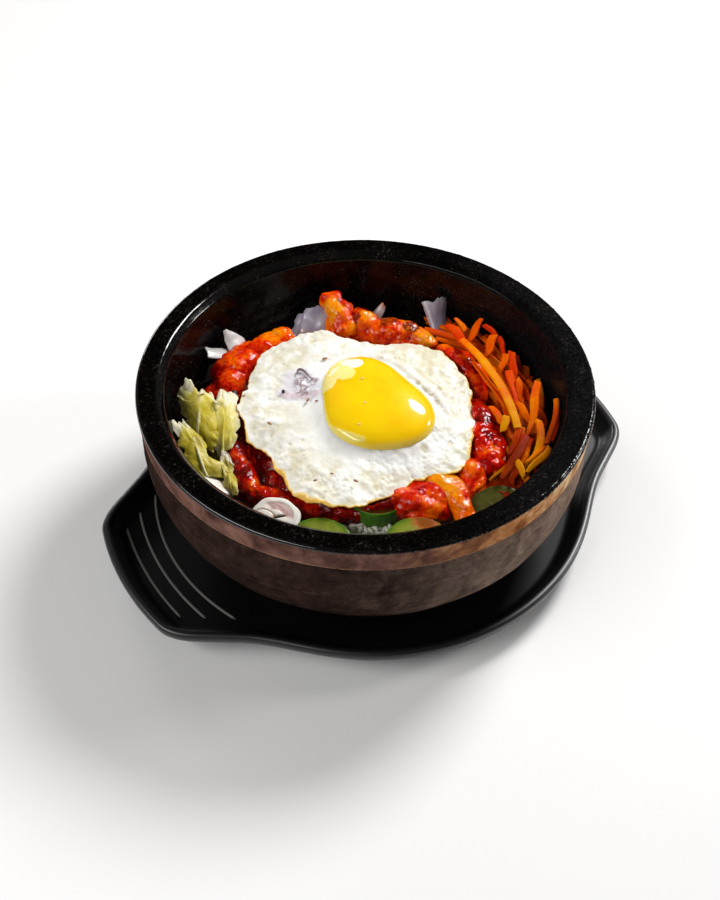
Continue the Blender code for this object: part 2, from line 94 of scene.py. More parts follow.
def lumps(points, size, seed=0):
    # soft bumps from -1 to 1, each about size across
    scaled = points / size + 100
    cell = np.floor(scaled)
    t = scaled - cell
    t = t * t * (3 - 2 * t)
    total = np.zeros(len(points))
    for corner in itertools.product((0, 1), repeat=3):
        weight = np.prod(np.where(corner, t, 1 - t), axis=1)
        total += weight * lattice(cell + corner, seed)
    return total * 2 - 1


def layered(points, size, seed=0, layers=3):
    total = np.zeros(len(points))
    for k in range(layers):
        total += lumps(points, size / 2**k, seed + 17 * k) / 2**k
    return total / 1.5


def chunks(points, size, seed=0):
    # distance to the nearest of scattered spots, 0 at a spot and about 1 between them,
    # and a value from 0 to 1 that belongs to that spot
    scaled = points / size + 100
    home = np.floor(scaled)
    nearest = np.full(len(points), 9.0)
    own = np.zeros(len(points))
    for step in itertools.product((-1, 0, 1), repeat=3):
        cell = home + step
        spot = cell + np.stack([lattice(cell, seed + k) for k in (1, 2, 3)], 1)
        away = np.linalg.norm(scaled - spot, axis=1)
        own = np.where(away < nearest, lattice(cell, seed + 9), own)
        nearest = np.minimum(nearest, away)
    return nearest, own


def bubbles(points, size, seed=0):
    return chunks(points, size, seed)[0]


def stirred(points, much, size, seed):
    return points + much * np.stack([lumps(points, size, seed + k) for k in range(3)], 1)


def smooth(low, high, values):
    t = np.clip((values - low) / (high - low), 0, 1)
    return t * t * (3 - 2 * t)


def near(points, spots):
    # how much each point lies in one of the spots (u, v, radius), from 0 to 1
    share = np.zeros(len(points))
    for u, v, radius in spots:
        away = np.hypot(points[:, 0] - u, points[:, 1] - v) / radius
        share = np.maximum(share, 1 - smooth(0.5, 1.15, away))
    return share


# meshes

def gridFaces(rows, columns, closed=True):
    i, j = np.meshgrid(np.arange(rows - 1), np.arange(columns if closed else columns - 1),
                       indexing="ij")
    k = (j + 1) % columns
    quads = np.stack([i * columns + j, i * columns + k, (i + 1) * columns + k,
                      (i + 1) * columns + j], -1)
    return quads.reshape(-1, 4)


def ringFaces(rings, sides):
    # a body of rings one after another, with both ends closed
    last = (rings - 1) * sides
    return gridFaces(rings, sides).tolist() + [list(range(sides))[::-1],
                                               list(range(last, last + sides))]


def fullTurn(count):
    return np.linspace(0, 2 * math.pi, count, endpoint=False)


def ringAt(angle, reach, depth, centre=(0, 0)):
    u = centre[0] + reach * np.cos(angle)
    v = centre[1] + reach * np.sin(angle)
    return np.stack([u, v, depth + 0 * u], 1)


def waved(shape, angle):
    # how far a wavy outline reaches; each wave is its count, height and first crest
    return shape["radius"] + sum(height * np.cos(count * (angle - math.radians(crest)))
                                 for count, height, crest in shape["waves"])


def normalsOf(points, faces):
    a, b, c, d = (points[faces[:, k]] for k in range(4))
    flat = np.cross(c - a, d - b)
    total = np.zeros_like(points)
    for k in range(4):
        np.add.at(total, faces[:, k], flat)
    return unit(total)


def joined(parts):
    # parts are (points, faces, marks); every part has the same marks
    points, faces, marks, count = [], [], {}, 0
    for places, quads, part in parts:
        points.append(places)
        faces += [[i + count for i in face] for face in quads]
        for label, values in part.items():
            marks.setdefault(label, []).append(np.broadcast_to(values, len(places)))
        count += len(places)
    return np.concatenate(points), faces, {k: np.concatenate(v) for k, v in marks.items()}


def newPiece(name, points, faces, finish, replaced=(), marks=None, sharp=False):
    # points in metres; marks are values on the points that the finish can read
    mesh = bpy.data.meshes.new(name)
    mesh.from_pydata(np.asarray(points).tolist(), [], [list(f) for f in faces])
    mesh.validate()
    if not sharp:
        mesh.shade_smooth()
    for label, values in (marks or {}).items():
        mark = mesh.attributes.new(label, "FLOAT", "POINT")
        mark.data.foreach_set("value", np.asarray(values, np.float32))
    mesh.materials.append(finish.material)
    piece = bpy.data.objects.new(name, mesh)
    bpy.context.scene.collection.objects.link(piece)
    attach(piece, "root")
    if replaced:
        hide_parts(*replaced)
    return piece


def tube(path, radii, sides=10):
    # a round bar along a path, with a radius at each point of it
    line = upsideDown(np.array(path, float))
    forward = unit(np.gradient(line, axis=0))
    side = unit(np.cross(forward, (0.13, 0.2, 1)))
    up = np.cross(side, forward)
    angle = fullTurn(sides)
    rings = [place + radius * (np.outer(np.cos(angle), a) + np.outer(np.sin(angle), b))
             for place, radius, a, b in zip(line, radii, side, up)]
    return upsideDown(np.concatenate(rings)), ringFaces(len(line), sides)


# materials

def colour(red, green, blue):
    # from the values seen on a screen, 0 to 255, to the ones light is added up in
    return tuple(((c / 255 + 0.055) / 1.055) ** 2.4 if c > 10 else c / 255 / 12.92
                 for c in (red, green, blue))


class Value:
    # a material's socket, which can stand in sums
    def __init__(self, finish, socket):
        self.finish = finish
        self.socket = socket

    def calc(self, operation, *others, clamp=False):
        return self.finish.node("ShaderNodeMath", {"operation": operation, "use_clamp": clamp},
                                dict(enumerate((self, *others))))

    def __add__(self, other):
        return self.calc("ADD", other)

    __radd__ = __add__

    def __mul__(self, other):
        return self.calc("MULTIPLY", other)

    __rmul__ = __mul__

    def __sub__(self, other):
        return self.calc("SUBTRACT", other)

    def __rsub__(self, other):
        return self.finish.node("ShaderNodeMath", {"operation": "SUBTRACT"}, {0: other, 1: self})

    def __pow__(self, other):
        return self.calc("POWER", other)

    def clip(self):
        return self.calc("ADD", 0.0, clamp=True)

    def step(self, low, high):
        # 0 below low, 1 above high, soft between
        return self.finish.node("ShaderNodeMapRange", {"interpolation_type": "SMOOTHSTEP"},
                                {"Value": self, "From Min": low, "From Max": high})


class Finish:
    # a material; glow is how much light goes in, how far in metres, and each colour's part of that
    def __init__(self, name, glow=None, **constants):
        self.material = bpy.data.materials.new(name)
        self.material.use_nodes = True
        self.tree = self.material.node_tree
        self.shader = self.tree.nodes["Principled BSDF"]
        self.place = self.node("ShaderNodeTexCoord", out="Object")
        self.paint(**constants)
        if glow:
            weight, scale, radius = glow
            self.paint(Subsurface_Weight=weight, Subsurface_Scale=scale, Subsurface_Radius=radius)

    def feed(self, socket, value):
        if isinstance(value, Value):
            self.tree.links.new(value.socket, socket)
        elif socket.type == "RGBA":
            socket.default_value = (*colour(*value), 1)
        else:
            socket.default_value = value

    def node(self, kind, settings=None, sockets=None, out=0):
        made = self.tree.nodes.new(kind)
        for label, value in (settings or {}).items():
            if label == "stops":
                self.setStops(made.color_ramp, value)
            else:
                setattr(made, label, value)
        for label, value in (sockets or {}).items():
            self.feed(made.inputs[label], value)
        return Value(self, made.outputs[out])

    def setStops(self, ramp, stops):
        while len(ramp.elements) < len(stops):
            ramp.elements.new(1)
        for element, (position, *tone) in zip(ramp.elements, stops):
            element.position = position
            element.color = (*colour(*tone), 1)

    def mark(self, label):
        return self.node("ShaderNodeAttribute", {"attribute_name": label}, out="Fac")

    def noise(self, size, detail=2.0, rough=0.5, stretch=None, warp=0.0):
        # size in millimetres; stretch divides it along x, y and z
        place = self.place
        if stretch:
            place = self.node("ShaderNodeVectorMath", {"operation": "MULTIPLY"},
                              {0: place, 1: stretch})
        return self.node("ShaderNodeTexNoise", {"noise_dimensions": "3D"},
                         {"Vector": place, "Scale": 1000 / size, "Detail": detail,
                          "Roughness": rough, "Distortion": warp}, out="Fac")

    def cells(self, size):
        return self.node("ShaderNodeTexVoronoi", {"feature": "F1"},
                         {"Vector": self.place, "Scale": 1000 / size}, out="Distance")

    def part(self, axis):
        return self.node("ShaderNodeSeparateXYZ", None, {"Vector": self.place}, out=axis)

    def mix(self, a, b, share):
        return self.node("ShaderNodeMix", {"data_type": "RGBA"},
                         {0: share, 6: a, 7: b}, out=2)

    def over(self, base, *layers):
        # each layer is a tone and how much of it shows
        for tone, share in layers:
            base = self.mix(base, tone, share)
        return base

    def ramp(self, value, stops):
        # each stop is its place, then red, green and blue
        return self.node("ShaderNodeValToRGB", {"stops": stops}, {"Fac": value}, out="Color")

    def bump(self, height, distance, strength):
        return self.node("ShaderNodeBump", None, {"Height": height, "Strength": strength,
                                                  "Distance": distance / 1000})

    def paint(self, **surface):
        for label, value in surface.items():
            self.feed(self.shader.inputs[label.replace("_", " ")], value)
        return self


# stone bowl

bowl = dict(
    mouth=79.2,
    taper=0.055,
    closing=0.0042,
    bandBottom=10.4,
    bandRadius=89.3,
    step=0.8,
    belly=(94.3, 43.3),
    baseRadius=65.0,
    baseDepth=(rimZ - bowlLow.z) * 1000,
    floorDepth=57.0,
    sides=500,
    tones=dict(
        # the band: mauve, then sandy and pale towards the right; the paler right is painted light
        mauve=((0.28, 60, 38, 32), (0.5, 102, 72, 64), (0.7, 134, 98, 86)),
        sandy=((0.28, 140, 80, 42), (0.5, 188, 124, 74), (0.72, 218, 170, 120)),
        pale=((0.28, 186, 140, 92), (0.5, 222, 188, 144), (0.72, 240, 216, 180)),
        # the wall's colour, painted in shade for the left and lit for the right
        dim=((0.3, 20, 13, 11), (0.46, 42, 31, 27), (0.58, 58, 43, 38), (0.75, 86, 66, 56)),
        grey=((0.3, 86, 68, 60), (0.46, 126, 106, 94), (0.6, 156, 134, 118),
              (0.75, 180, 158, 138)),
        glaze=((0.35, 2, 2, 2), (0.56, 8, 6, 5), (0.66, 26, 23, 20), (0.8, 88, 82, 74)),
        # painted shade low on the wall, towards the base
        shade=(18, 13, 11),
        scratch=(138, 116, 100),
        soot=(10, 7, 6),
        ledge=(205, 165, 120),
        # a painted grey sheen on the glaze's lit right side
        dusty=(30, 30, 32),
    ),
)


def insideRadius(depth):
    return bowl["mouth"] - bowl["taper"] * depth - bowl["closing"] * depth * depth


def curve(start, control, end, steps):
    t = np.linspace(0, 1, steps)[:, None]
    start, control, end = (np.array(p, float) for p in (start, control, end))
    return start * (1 - t) ** 2 + control * 2 * t * (1 - t) + end * t * t


def bowlProfile():
    # radius and depth from the middle of the floor, up over the rim and down to the base
    depths = np.concatenate([[54.5, 52, 48, 43], np.linspace(39, 4, 30)])
    wall = np.stack([insideRadius(depths), depths], 1)
    mouth, outer = bowl["mouth"], rimRadius
    baseRadius, baseDepth, floorDepth = bowl["baseRadius"], bowl["baseDepth"], bowl["floorDepth"]
    chamfer = np.stack([np.linspace(insideRadius(2.9), mouth + 1.7, 5),
                        np.linspace(2.9, 0.85, 5)], 1)
    lip = np.concatenate([chamfer, curve((mouth + 2.0, 0.6), (mouth + 2.6, 0.1),
                                         (mouth + 4.0, 0.0), 7)])
    top = np.stack([np.linspace(mouth + 4.7, outer - 2.0, 9), np.full(9, 0.0)], 1)
    edge = curve((outer - 1.5, 0.03), (outer - 0.05, 0.05), (outer, 1.6), 10)
    bandStart = np.array([outer, 1.9])
    bandEnd = np.array([bowl["bandRadius"], bowl["bandBottom"]])
    share = np.linspace(0.08, 0.96, 12)[:, None]
    band = bandStart * (1 - share) + bandEnd * share
    under = curve(bandEnd, bandEnd + (0.05, 0.35), bandEnd + (-bowl["step"], 0.55), 5)
    start = under[-1] + (-0.05, 0.15)
    belly = curve(start, bowl["belly"], (baseRadius, baseDepth - 0.6), 42)
    base = [(baseRadius - 1.0, baseDepth), (40, baseDepth), (1, baseDepth)]
    floor = [(1, floorDepth), (40, floorDepth), (insideRadius(54.5) - 7, floorDepth)]
    return np.concatenate([floor, wall, lip, top, edge, band, under, belly, base])


def stoneFinish():
    f = Finish("glazed stone", Specular_IOR_Level=0.0, Coat_Roughness=0.11, Coat_IOR=1.5)
    tones = bowl["tones"]
    x = f.part("X") - axisX
    y = f.part("Y") - axisY
    depth = (rimZ - f.part("Z")) * 1000
    radius = (x * x + y * y) ** 0.5 * 1000
    grain = f.noise(1.5, 3, 0.6)
    patches = f.noise(11, 4, 0.62, warp=0.4)
    streaks = f.noise(9, 3, 0.6, stretch=(0.25, 0.25, 4.0))
    mottled = f.noise(2.6, 4, 0.7)
    speck = f.noise(2.4, 2, 0.6)
    glint = f.noise(0.8, 2, 0.6)
    # from the darker left, below 0, to the sandy right, above 0; the band, the wall and the rim
    # glaze are painted lighter to the right, as painted light, and darker to the left, as painted
    # shade
    side = (x * math.cos(foodTurn) + y * math.sin(foodTurn)) * 11
    outside = radius.step(84.0, 86.0) * (depth + (patches - 0.5) * 0.8).step(1.0, 1.5)
    lower = depth.step(bowl["bandBottom"] + 0.1, bowl["bandBottom"] + 0.7)
    ledge = depth.step(bowl["bandBottom"] - 0.6, bowl["bandBottom"] + 0.1) - lower

    # the band is painted lighter and paler towards the right, as painted light
    across = side + (patches - 0.5) * 0.9
    band = f.over(f.ramp(patches, tones["mauve"]),
                  (f.ramp(patches, tones["sandy"]), across.step(0.1, 0.75)),
                  (f.ramp(patches, tones["pale"]), across.step(0.6, 0.95)))
    tooled = patches * 0.45 + streaks * 0.2 + mottled * 0.35
    scratches = f.noise(5, 2, 0.6, stretch=(0.5, 0.5, 4.0), warp=1.0).step(0.68, 0.76)
    # the wall: painted shade on the left, painted light on the right, painted shade towards the
    # base; scratches and soot are the stone's own
    wall = f.over(f.ramp(tooled, tones["dim"]),
                  (f.ramp(tooled, tones["grey"]), (side + (patches - 0.5) * 0.5).step(-0.1, 0.95)),
                  (tones["shade"], depth.step(38, 66) * 0.75),
                  (tones["scratch"], scratches * 0.3),
                  (tones["soot"], f.noise(1.8, 2, 0.6).step(0.62, 0.74) * 0.5))
    stone = f.over(band, (wall, lower), (tones["ledge"], (ledge * (speck * 1.6 - 0.6)).clip()))
    # the black glaze, with a painted grey sheen on the lit right side
    black = f.over(f.ramp(f.noise(1.0, 3, 0.7) + (patches - 0.5) * 0.4, tones["glaze"]),
                   (tones["dusty"], (side.step(0.2, 0.9) * (grain * 1.4 - 0.4)).clip()))

    glazeBump = f.bump(f.noise(0.9, 3, 0.7), 0.45, 0.1 + 0.8 * radius.step(78.6, 79.4))
    stoneBump = f.bump(streaks * 0.4 + mottled * 0.6 + patches * 0.3, 0.9, 0.6)
    normal = f.node("ShaderNodeMix", {"data_type": "VECTOR"},
                    {0: outside, 4: glazeBump, 5: stoneBump}, out=1)
    mouth = bowl["mouth"]
    inner = 1 - radius.step(mouth - 0.4, mouth + 0.6)
    lip = (1 - inner) * (1 - radius.step(mouth + 2.0, mouth + 3.6))
    edge = radius.step(rimRadius - 1.5, rimRadius - 0.7) * (1 - outside)
    lit = 1 - side.step(-0.5, 0.3)
    gloss = (inner * 0.28 + lip * (0.35 + speck) * (1 - side.step(-0.2, 0.4))
             + edge * (glint * 7 + speck * 2 - 4.1 + lit * 2.4))
    return f.paint(Base_Color=f.mix(black, stone, outside), Coat_Weight=gloss.clip(),
                   Roughness=0.3 + outside * 0.4 + (grain - 0.5) * 0.12, Normal=normal)


def stoneBowl():
    profile = bowlProfile()
    sides = bowl["sides"]
    points = np.concatenate([ringAt(fullTurn(sides), r, d) for r, d in profile])
    radius, depth = (np.repeat(profile[:, k], sides) for k in (0, 1))
    out = upsideDown(normalsOf(upsideDown(points), gridFaces(len(profile), sides)))
    outer = smooth(rimRadius - 6, rimRadius - 1, radius) * (1 - smooth(1.2, 2.4, depth))
    rimPart = (1 - smooth(3, 5, depth)) * smooth(76, 79, radius)
    below = smooth(10.5, 14, depth) * smooth(60, 66, radius)
    move = rimPart * (0.04 * lumps(points, 1.8, 5) + 0.06 * lumps(points, 12, 6))
    rightSide = smooth(20, 60, points[:, 0]) * outer
    move -= (0.06 + 0.12 * rightSide) * outer * smooth(0.35, 0.8, lumps(points, 2.0, 8))
    lathed = points * (0.3, 0.3, 1)
    move += below * (0.12 * lumps(lathed, 2.0, 11) + 0.2 * lumps(points, 16, 12))
    points = points + out * move[:, None]
    return newPiece("stoneBowlTurned", inFood(points), ringFaces(len(profile), sides),
                    stoneFinish(), ["stone_bowl"])


# tray

tray = dict(
    halfLength=115.5,
    roundRadius=93.7,
    shoulderReach=87.3,
    shoulderAngle=58.1,
    blend=6.6,
    floor=6.2,
    under=2.7,
    lip=14.5,
    skirt=4.2,
    foot=(62.0, 70.0),
    ribs=((91.2, 90, 38.4), (97.3, 113, 32.2), (103.6, 133, 26.8)),  # reach, radius, half chord
    ribShift=4.0,
    ribRadius=0.62,
    sides=480,
    # the ribs are painted light grey, a painted highlight on the black
    tones=dict(black=((2, 2, 2), (9, 9, 9)), raised=(88, 86, 84)),
)


def blendLow(a, b, width):
    # the lower of the two, with a rounded turn from one to the other
    share = np.clip(0.5 + 0.5 * (b - a) / width, 0, 1)
    return b + (a - b) * share - width * share * (1 - share)


def trayRadius(angle):
    folded = np.arctan2(np.abs(np.sin(angle)), np.abs(np.cos(angle)))
    shoulder = math.radians(tray["shoulderAngle"])
    slant = tray["shoulderReach"] / np.cos(np.minimum(folded - shoulder, 0))
    wing = blendLow(tray["halfLength"], slant, tray["blend"])
    return -blendLow(-tray["roundRadius"], -wing, tray["blend"])


def trayFinish():
    f = Finish("black tray", Specular_IOR_Level=0.16, Coat_Roughness=0.36, Coat_IOR=1.5)
    tones = tray["tones"]
    cloud = f.noise(30, 3, 0.6)
    fine = f.noise(0.9, 2, 0.6)
    raised = f.mark("raised")
    right = f.part("X").step(0.06, 0.1)
    wall = (f.part("Z") * 1000).step(tray["floor"] + 0.8, tray["floor"] + 3.5)
    black = f.mix(*tones["black"], cloud * 0.5 + fine * 0.5)
    # the ribs take the painted highlight colour
    return f.paint(Base_Color=f.mix(black, tones["raised"], raised),
                   Coat_Weight=(wall * 0.9 + raised * 0.4 + right * 0.55).clip(),
                   Roughness=0.36 + cloud * 0.1 + fine * 0.05, Normal=f.bump(fine, 0.1, 0.25))


def trayRibs():
    # the raised arcs on both handles
    parts = []
    for reach, radius, half in tray["ribs"]:
        chord = np.linspace(-half, half, 48)
        x = reach - radius + np.sqrt(radius ** 2 - chord ** 2)
        height = tray["floor"] + 0.25 * tray["ribRadius"]
        for side in (-1, 1):
            path = np.stack([x * side, chord + tray["ribShift"],
                             np.full(len(chord), -height)], 1)
            ends = np.clip((half - np.abs(chord)) / 1.5, 0.15, 1) ** 0.5
            points, faces = tube(path, tray["ribRadius"] * ends)
            parts.append((upsideDown(points), faces, dict(raised=1.0)))
    return parts


def trayPiece():
    sides = tray["sides"]
    fine = np.linspace(0, 2 * math.pi, 7200, endpoint=False)
    radius = trayRadius(fine)
    outline = np.stack([radius * np.cos(fine), radius * np.sin(fine)], 1)
    ahead = np.roll(outline, -1, 0) - np.roll(outline, 1, 0)
    normal = unit(np.stack([ahead[:, 1], -ahead[:, 0]], 1))
    length = np.concatenate([[0], np.cumsum(np.linalg.norm(np.diff(outline, axis=0), axis=1))])
    chosen = np.searchsorted(length, np.linspace(0, length[-1], sides, endpoint=False))
    chosen = np.minimum(chosen, len(outline) - 1)
    outline, normal = outline[chosen], normal[chosen]

    def ring(inset, z):
        return np.column_stack([outline - normal * inset, np.full(sides, z)])

    lip, skirt, floor, under = (tray[k] for k in ("lip", "skirt", "floor", "under"))
    inner = outline - normal * 10.5
    rings = [np.column_stack([inner * share, np.full(sides, floor)])
             for share in np.linspace(0.42, 1.0, 16)]
    cove = curve((9.8, floor), (7.6, floor - 0.1), (5.6, floor + 3.4), 6)
    slope = curve((5.0, floor + 4.5), (3.9, lip - 0.6), (2.9, lip - 0.15), 5)
    bead = curve((2.4, lip), (0.5, lip + 0.3), (0.05, lip - 1.2), 7)
    side = curve((0.0, lip - 1.9), (0.1, lip - 3), (0.5, lip - skirt), 4)
    below = curve((1.2, lip - skirt - 0.5), (4.0, 6.5), (9.0, under), 6)
    for inset, z in np.concatenate([cove, slope, bead, side, below]):
        rings.append(ring(inset, z))
    angle = np.arctan2(outline[:, 1], outline[:, 0])
    around = np.column_stack([np.cos(angle), np.sin(angle)])
    footIn, footOut = tray["foot"]
    for radius, z in ((footOut + 0.9, under), (footOut, 0.25), (footOut - 0.3, 0),
                      (footIn + 0.3, 0), (footIn, 0.25), (footIn - 0.9, under), (10, under)):
        rings.append(np.column_stack([around * radius, np.full(sides, z)]))
    body = (np.concatenate(rings), ringFaces(len(rings), sides), dict(raised=0.0))
    points, faces, marks = joined([body] + trayRibs())
    return newPiece("trayMoulded", points / 1000, faces, trayFinish(),
                    ["tray"], marks)


# fried egg

egg = dict(
    centre=(-3.2, -1.9),
    radius=47.4,
    waves=((2, 1.2, 158), (3, 2.6, 19), (4, 1.1, 55), (5, 1.8, 44), (8, 0.7, 10), (12, 0.4, 24)),
    crinkles=((9.0, 0.8), (4.2, 1.05), (1.9, 0.45)),  # size and depth round the edge
    depth=16.6,
    tilt=0.06,
    dome=3.2,
    thickness=3.2,
    sides=700,
    pits=((22.9, 8.4, 2.0), (16.5, 14.5, 1.6), (28.9, 2.6, 1.8), (23.8, -23.7, 2.2),
          (30, 10, 1.4), (21, 12, 1.6), (26, 6, 1.4), (34, -19, 1.3)),  # u, v, radius
    browning=((-142, 17, 0.085), (-112, 12, 0.05), (-84, 16, 0.035), (-35, 24, 0.03),
              (12, 34, 0.032), (62, 16, 0.014)),  # bearing, spread, width
    dents=((-147, 9, 1.6), (-128, 6, 3.2), (-112, 6, -1.0), (-60, 15, 1.9), (106, 15, 1.3),
           (2, 7, 0.8)),  # bearing, spread, depth
    bruise=((-28, 12, 8), (-24, 6, 8), (-31, 5, 6)),
    strands=((-26, 10, 4.2), (-25, 5.5, 4.0), (-22, 10.5, 3)),
    fold=((-32, 3.6, 2.4), (-28, 3.0, 2.4), (-24, 2.6, 2.4), (-20.5, 3.4, 2.2)),
    tones=dict(
        white=((0.3, 226, 220, 202), (0.48, 239, 236, 226), (0.65, 246, 245, 240)),
        # painted shade in the hollows of the froth
        hollow=(204, 193, 150),
        thin=(232, 232, 234),
        pit=(196, 182, 132),
        cream=(242, 218, 146),
        gold=(228, 168, 52),
        burnt=(150, 78, 16),
        bruise=(212, 208, 220),
        fold=(206, 176, 178),
        strand=(128, 92, 102),
    ),
)
yolk = dict(
    centre=(4.4, -1.0),
    radius=23.1,
    waves=((1, 2.4, -119), (2, 3.1, -55), (3, 1.35, -10), (4, 0.5, -37)),
    top=5.5,
    base=13.8,
    fullness=2.15,
    # a pale film on the upper left, painted partly as the highlight seen there
    film=((-12.5, 10.7, 6.6), (-15.5, 4.6, 4.4), (-8, 8, 4.4), (-13, 15, 5.5)),
    # a painted highlight, pure white
    white=((-4.6, 14.2, 4.0), (-7.6, 15.6, 3.2)),
    # a pale film band on the lower left, painted partly as the highlight there
    crescent=((-14.6, -15.2, 0.8), (-11.9, -18.6, 1.3), (-8.0, -21.4, 1.6), (-3.8, -23.2, 1.6),
              (-0.4, -24.0, 1.0)),  # stops of a smooth band
    # the lower front is painted brighter, as painted light against its shade
    amber=((-4, -17, 16),),
    sides=200,
    rings=60,
    tones=dict(
        yellow=((0.35, 255, 196, 0), (0.6, 255, 206, 0)),
        # a brighter yellow, painted light for the lower front
        amber=(255, 212, 0),
        film=((255, 234, 134), (255, 247, 208)),
        white=(255, 250, 226),
        crescent=(255, 232, 122),
        # painted light at the foot of the dome, partly its pale film
        collar=(255, 226, 120),
    ),
)


def awayFrom(angle, middle):
    # degrees between each angle, in radians, and a bearing in degrees
    return np.degrees(np.abs((angle - math.radians(middle) + math.pi) % (2 * math.pi) - math.pi))


def yolkShare(u, v):
    # 1 at the yolk's edge
    x, y = u - yolk["centre"][0], v - yolk["centre"][1]
    return np.hypot(x, y) / waved(yolk, np.arctan2(y, x))


def yolkTop(u, v):
    share = min(float(yolkShare(u, v)), 0.99)
    tall = yolk["base"] - yolk["top"]
    high = tall * (1 - share ** yolk["fullness"]) ** (1 / yolk["fullness"])
    return yolk["base"] - egg["tilt"] * v - high


def eggOutline(angle):
    reach = waved(egg, angle)
    ring = np.column_stack([np.cos(angle), np.sin(angle), np.zeros(len(angle))])
    for k, (size, height) in enumerate(egg["crinkles"]):
        reach = reach + height * lumps(ring * egg["radius"], size, 31 + k)
    for middle, spread, deep in egg["dents"]:
        reach = reach - deep * np.exp(-((awayFrom(angle, middle) / spread) ** 2))
    return reach


def eggTop(v, share, angle):
    plane = egg["depth"] - egg["tilt"] * (v - egg["centre"][1])
    dome = egg["dome"] * np.exp(-((share / 0.6) ** 2))
    wave = 0.8 * share**3 * np.sin(5 * angle + 1) + 0.5 * share**3 * np.sin(9 * angle)
    return plane - dome + 2.5 * share**6 + wave


def eggRelief(points, share, angle):
    # froth, pits and the pleats beside the yolk, upwards, and the hollows that get painted shade
    flat = points * (1, 1, 0)
    ring = smooth(0.45, 0.75, share)
    frothy = smooth(-0.45, 0.3, lumps(flat, 10, 4)) * ring
    big = 1 - smooth(0.05, 0.85, bubbles(stirred(flat, 1.4, 5, 90), 4.6, 3))
    small = 1 - smooth(0.1, 0.75, bubbles(stirred(flat, 0.6, 2, 95), 2.1, 5))
    relief = 0.4 * lumps(flat, 12, 6) + frothy * (0.5 * big + 0.3 * small)
    relief += ring * (0.34 * lumps(flat, 5.5, 14) + 0.26 * lumps(flat, 2.6, 15)
                      + 0.13 * lumps(flat, 1.3, 17))
    holes = 1 - smooth(0.12, 0.3, bubbles(flat, 3.3, 8))
    holes = holes * ring * smooth(0.0, 0.35, lumps(flat, 8, 9))
    relief -= 0.35 * holes
    spots = near(stirred(points, 0.9, 2.2, 15), egg["pits"])
    relief -= 0.5 * spots
    edge = yolkShare(points[:, 0], points[:, 1])
    side = smooth(-0.2, 0.5, np.cos(angle - math.radians(62)))
    pleats = np.sin((edge - 1) * 24 + 1.3 * lumps(flat, 14, 10))
    relief += 0.28 * pleats * side * smooth(1.06, 1.14, edge) * (1 - smooth(1.45, 1.7, edge))
    relief += 1.9 * (1 - smooth(0.96, 1.32, edge)) ** 2
    stranded = near(points, egg["strands"])
    relief += stranded * 0.7 * (0.5 - np.abs(lumps(flat, 3.4, 12)) * 1.6)
    relief += 0.5 * near(stirred(points, 0.5, 3, 16), egg["fold"])
    # painted shade in the froth's hollows
    hollow = ring * np.clip(0.5 * (1 - big) + 0.6 * lumps(flat, 4.5, 33)
                            - 0.5 * lumps(flat, 2.6, 15), 0, 1)
    return relief, np.maximum(spots, holes), hollow


def eggFinish():
    f = Finish("fried egg white", glow=(0.12, 0.002, (1.0, 0.8, 0.5)), Specular_IOR_Level=0.35)
    tones = egg["tones"]
    soft = f.noise(6, 3, 0.6)
    fine = f.noise(1.4, 3, 0.65)
    ragged = f.mark("brown") * 1.1 + (fine - 0.5) * 0.9 + (soft - 0.5) * 0.9
    strands = 1 - ((f.noise(3.2, 3, 0.55, warp=0.8) - 0.5) * 8).calc("ABSOLUTE").clip()
    # the hollows of the froth get painted shade
    white = f.over(f.ramp(soft * 0.7 + fine * 0.3, tones["white"]),
                   (tones["hollow"], (f.mark("hollow") * (fine + 0.2)).clip() * 0.9),
                   (tones["thin"], f.mark("thin") * 0.7),
                   (tones["pit"], (f.mark("pit") * (fine * 2 - 0.4)).clip() * 0.7),
                   (tones["cream"], ragged.step(0.2, 0.7)),
                   (tones["gold"], ragged.step(0.6, 1.0) * 0.9),
                   (tones["burnt"], ragged.step(1.05, 1.35) * 0.85),
                   (tones["bruise"], (f.mark("bruise") * (soft + 0.35)).clip() * 0.75),
                   (tones["fold"], f.mark("fold") * 0.55),
                   (tones["strand"], (f.mark("strand") * strands * 1.1).clip() * 0.85))
    return f.paint(Base_Color=white, Roughness=0.3 + fine * 0.14,
                   Normal=f.bump(fine, 0.16, 0.35))


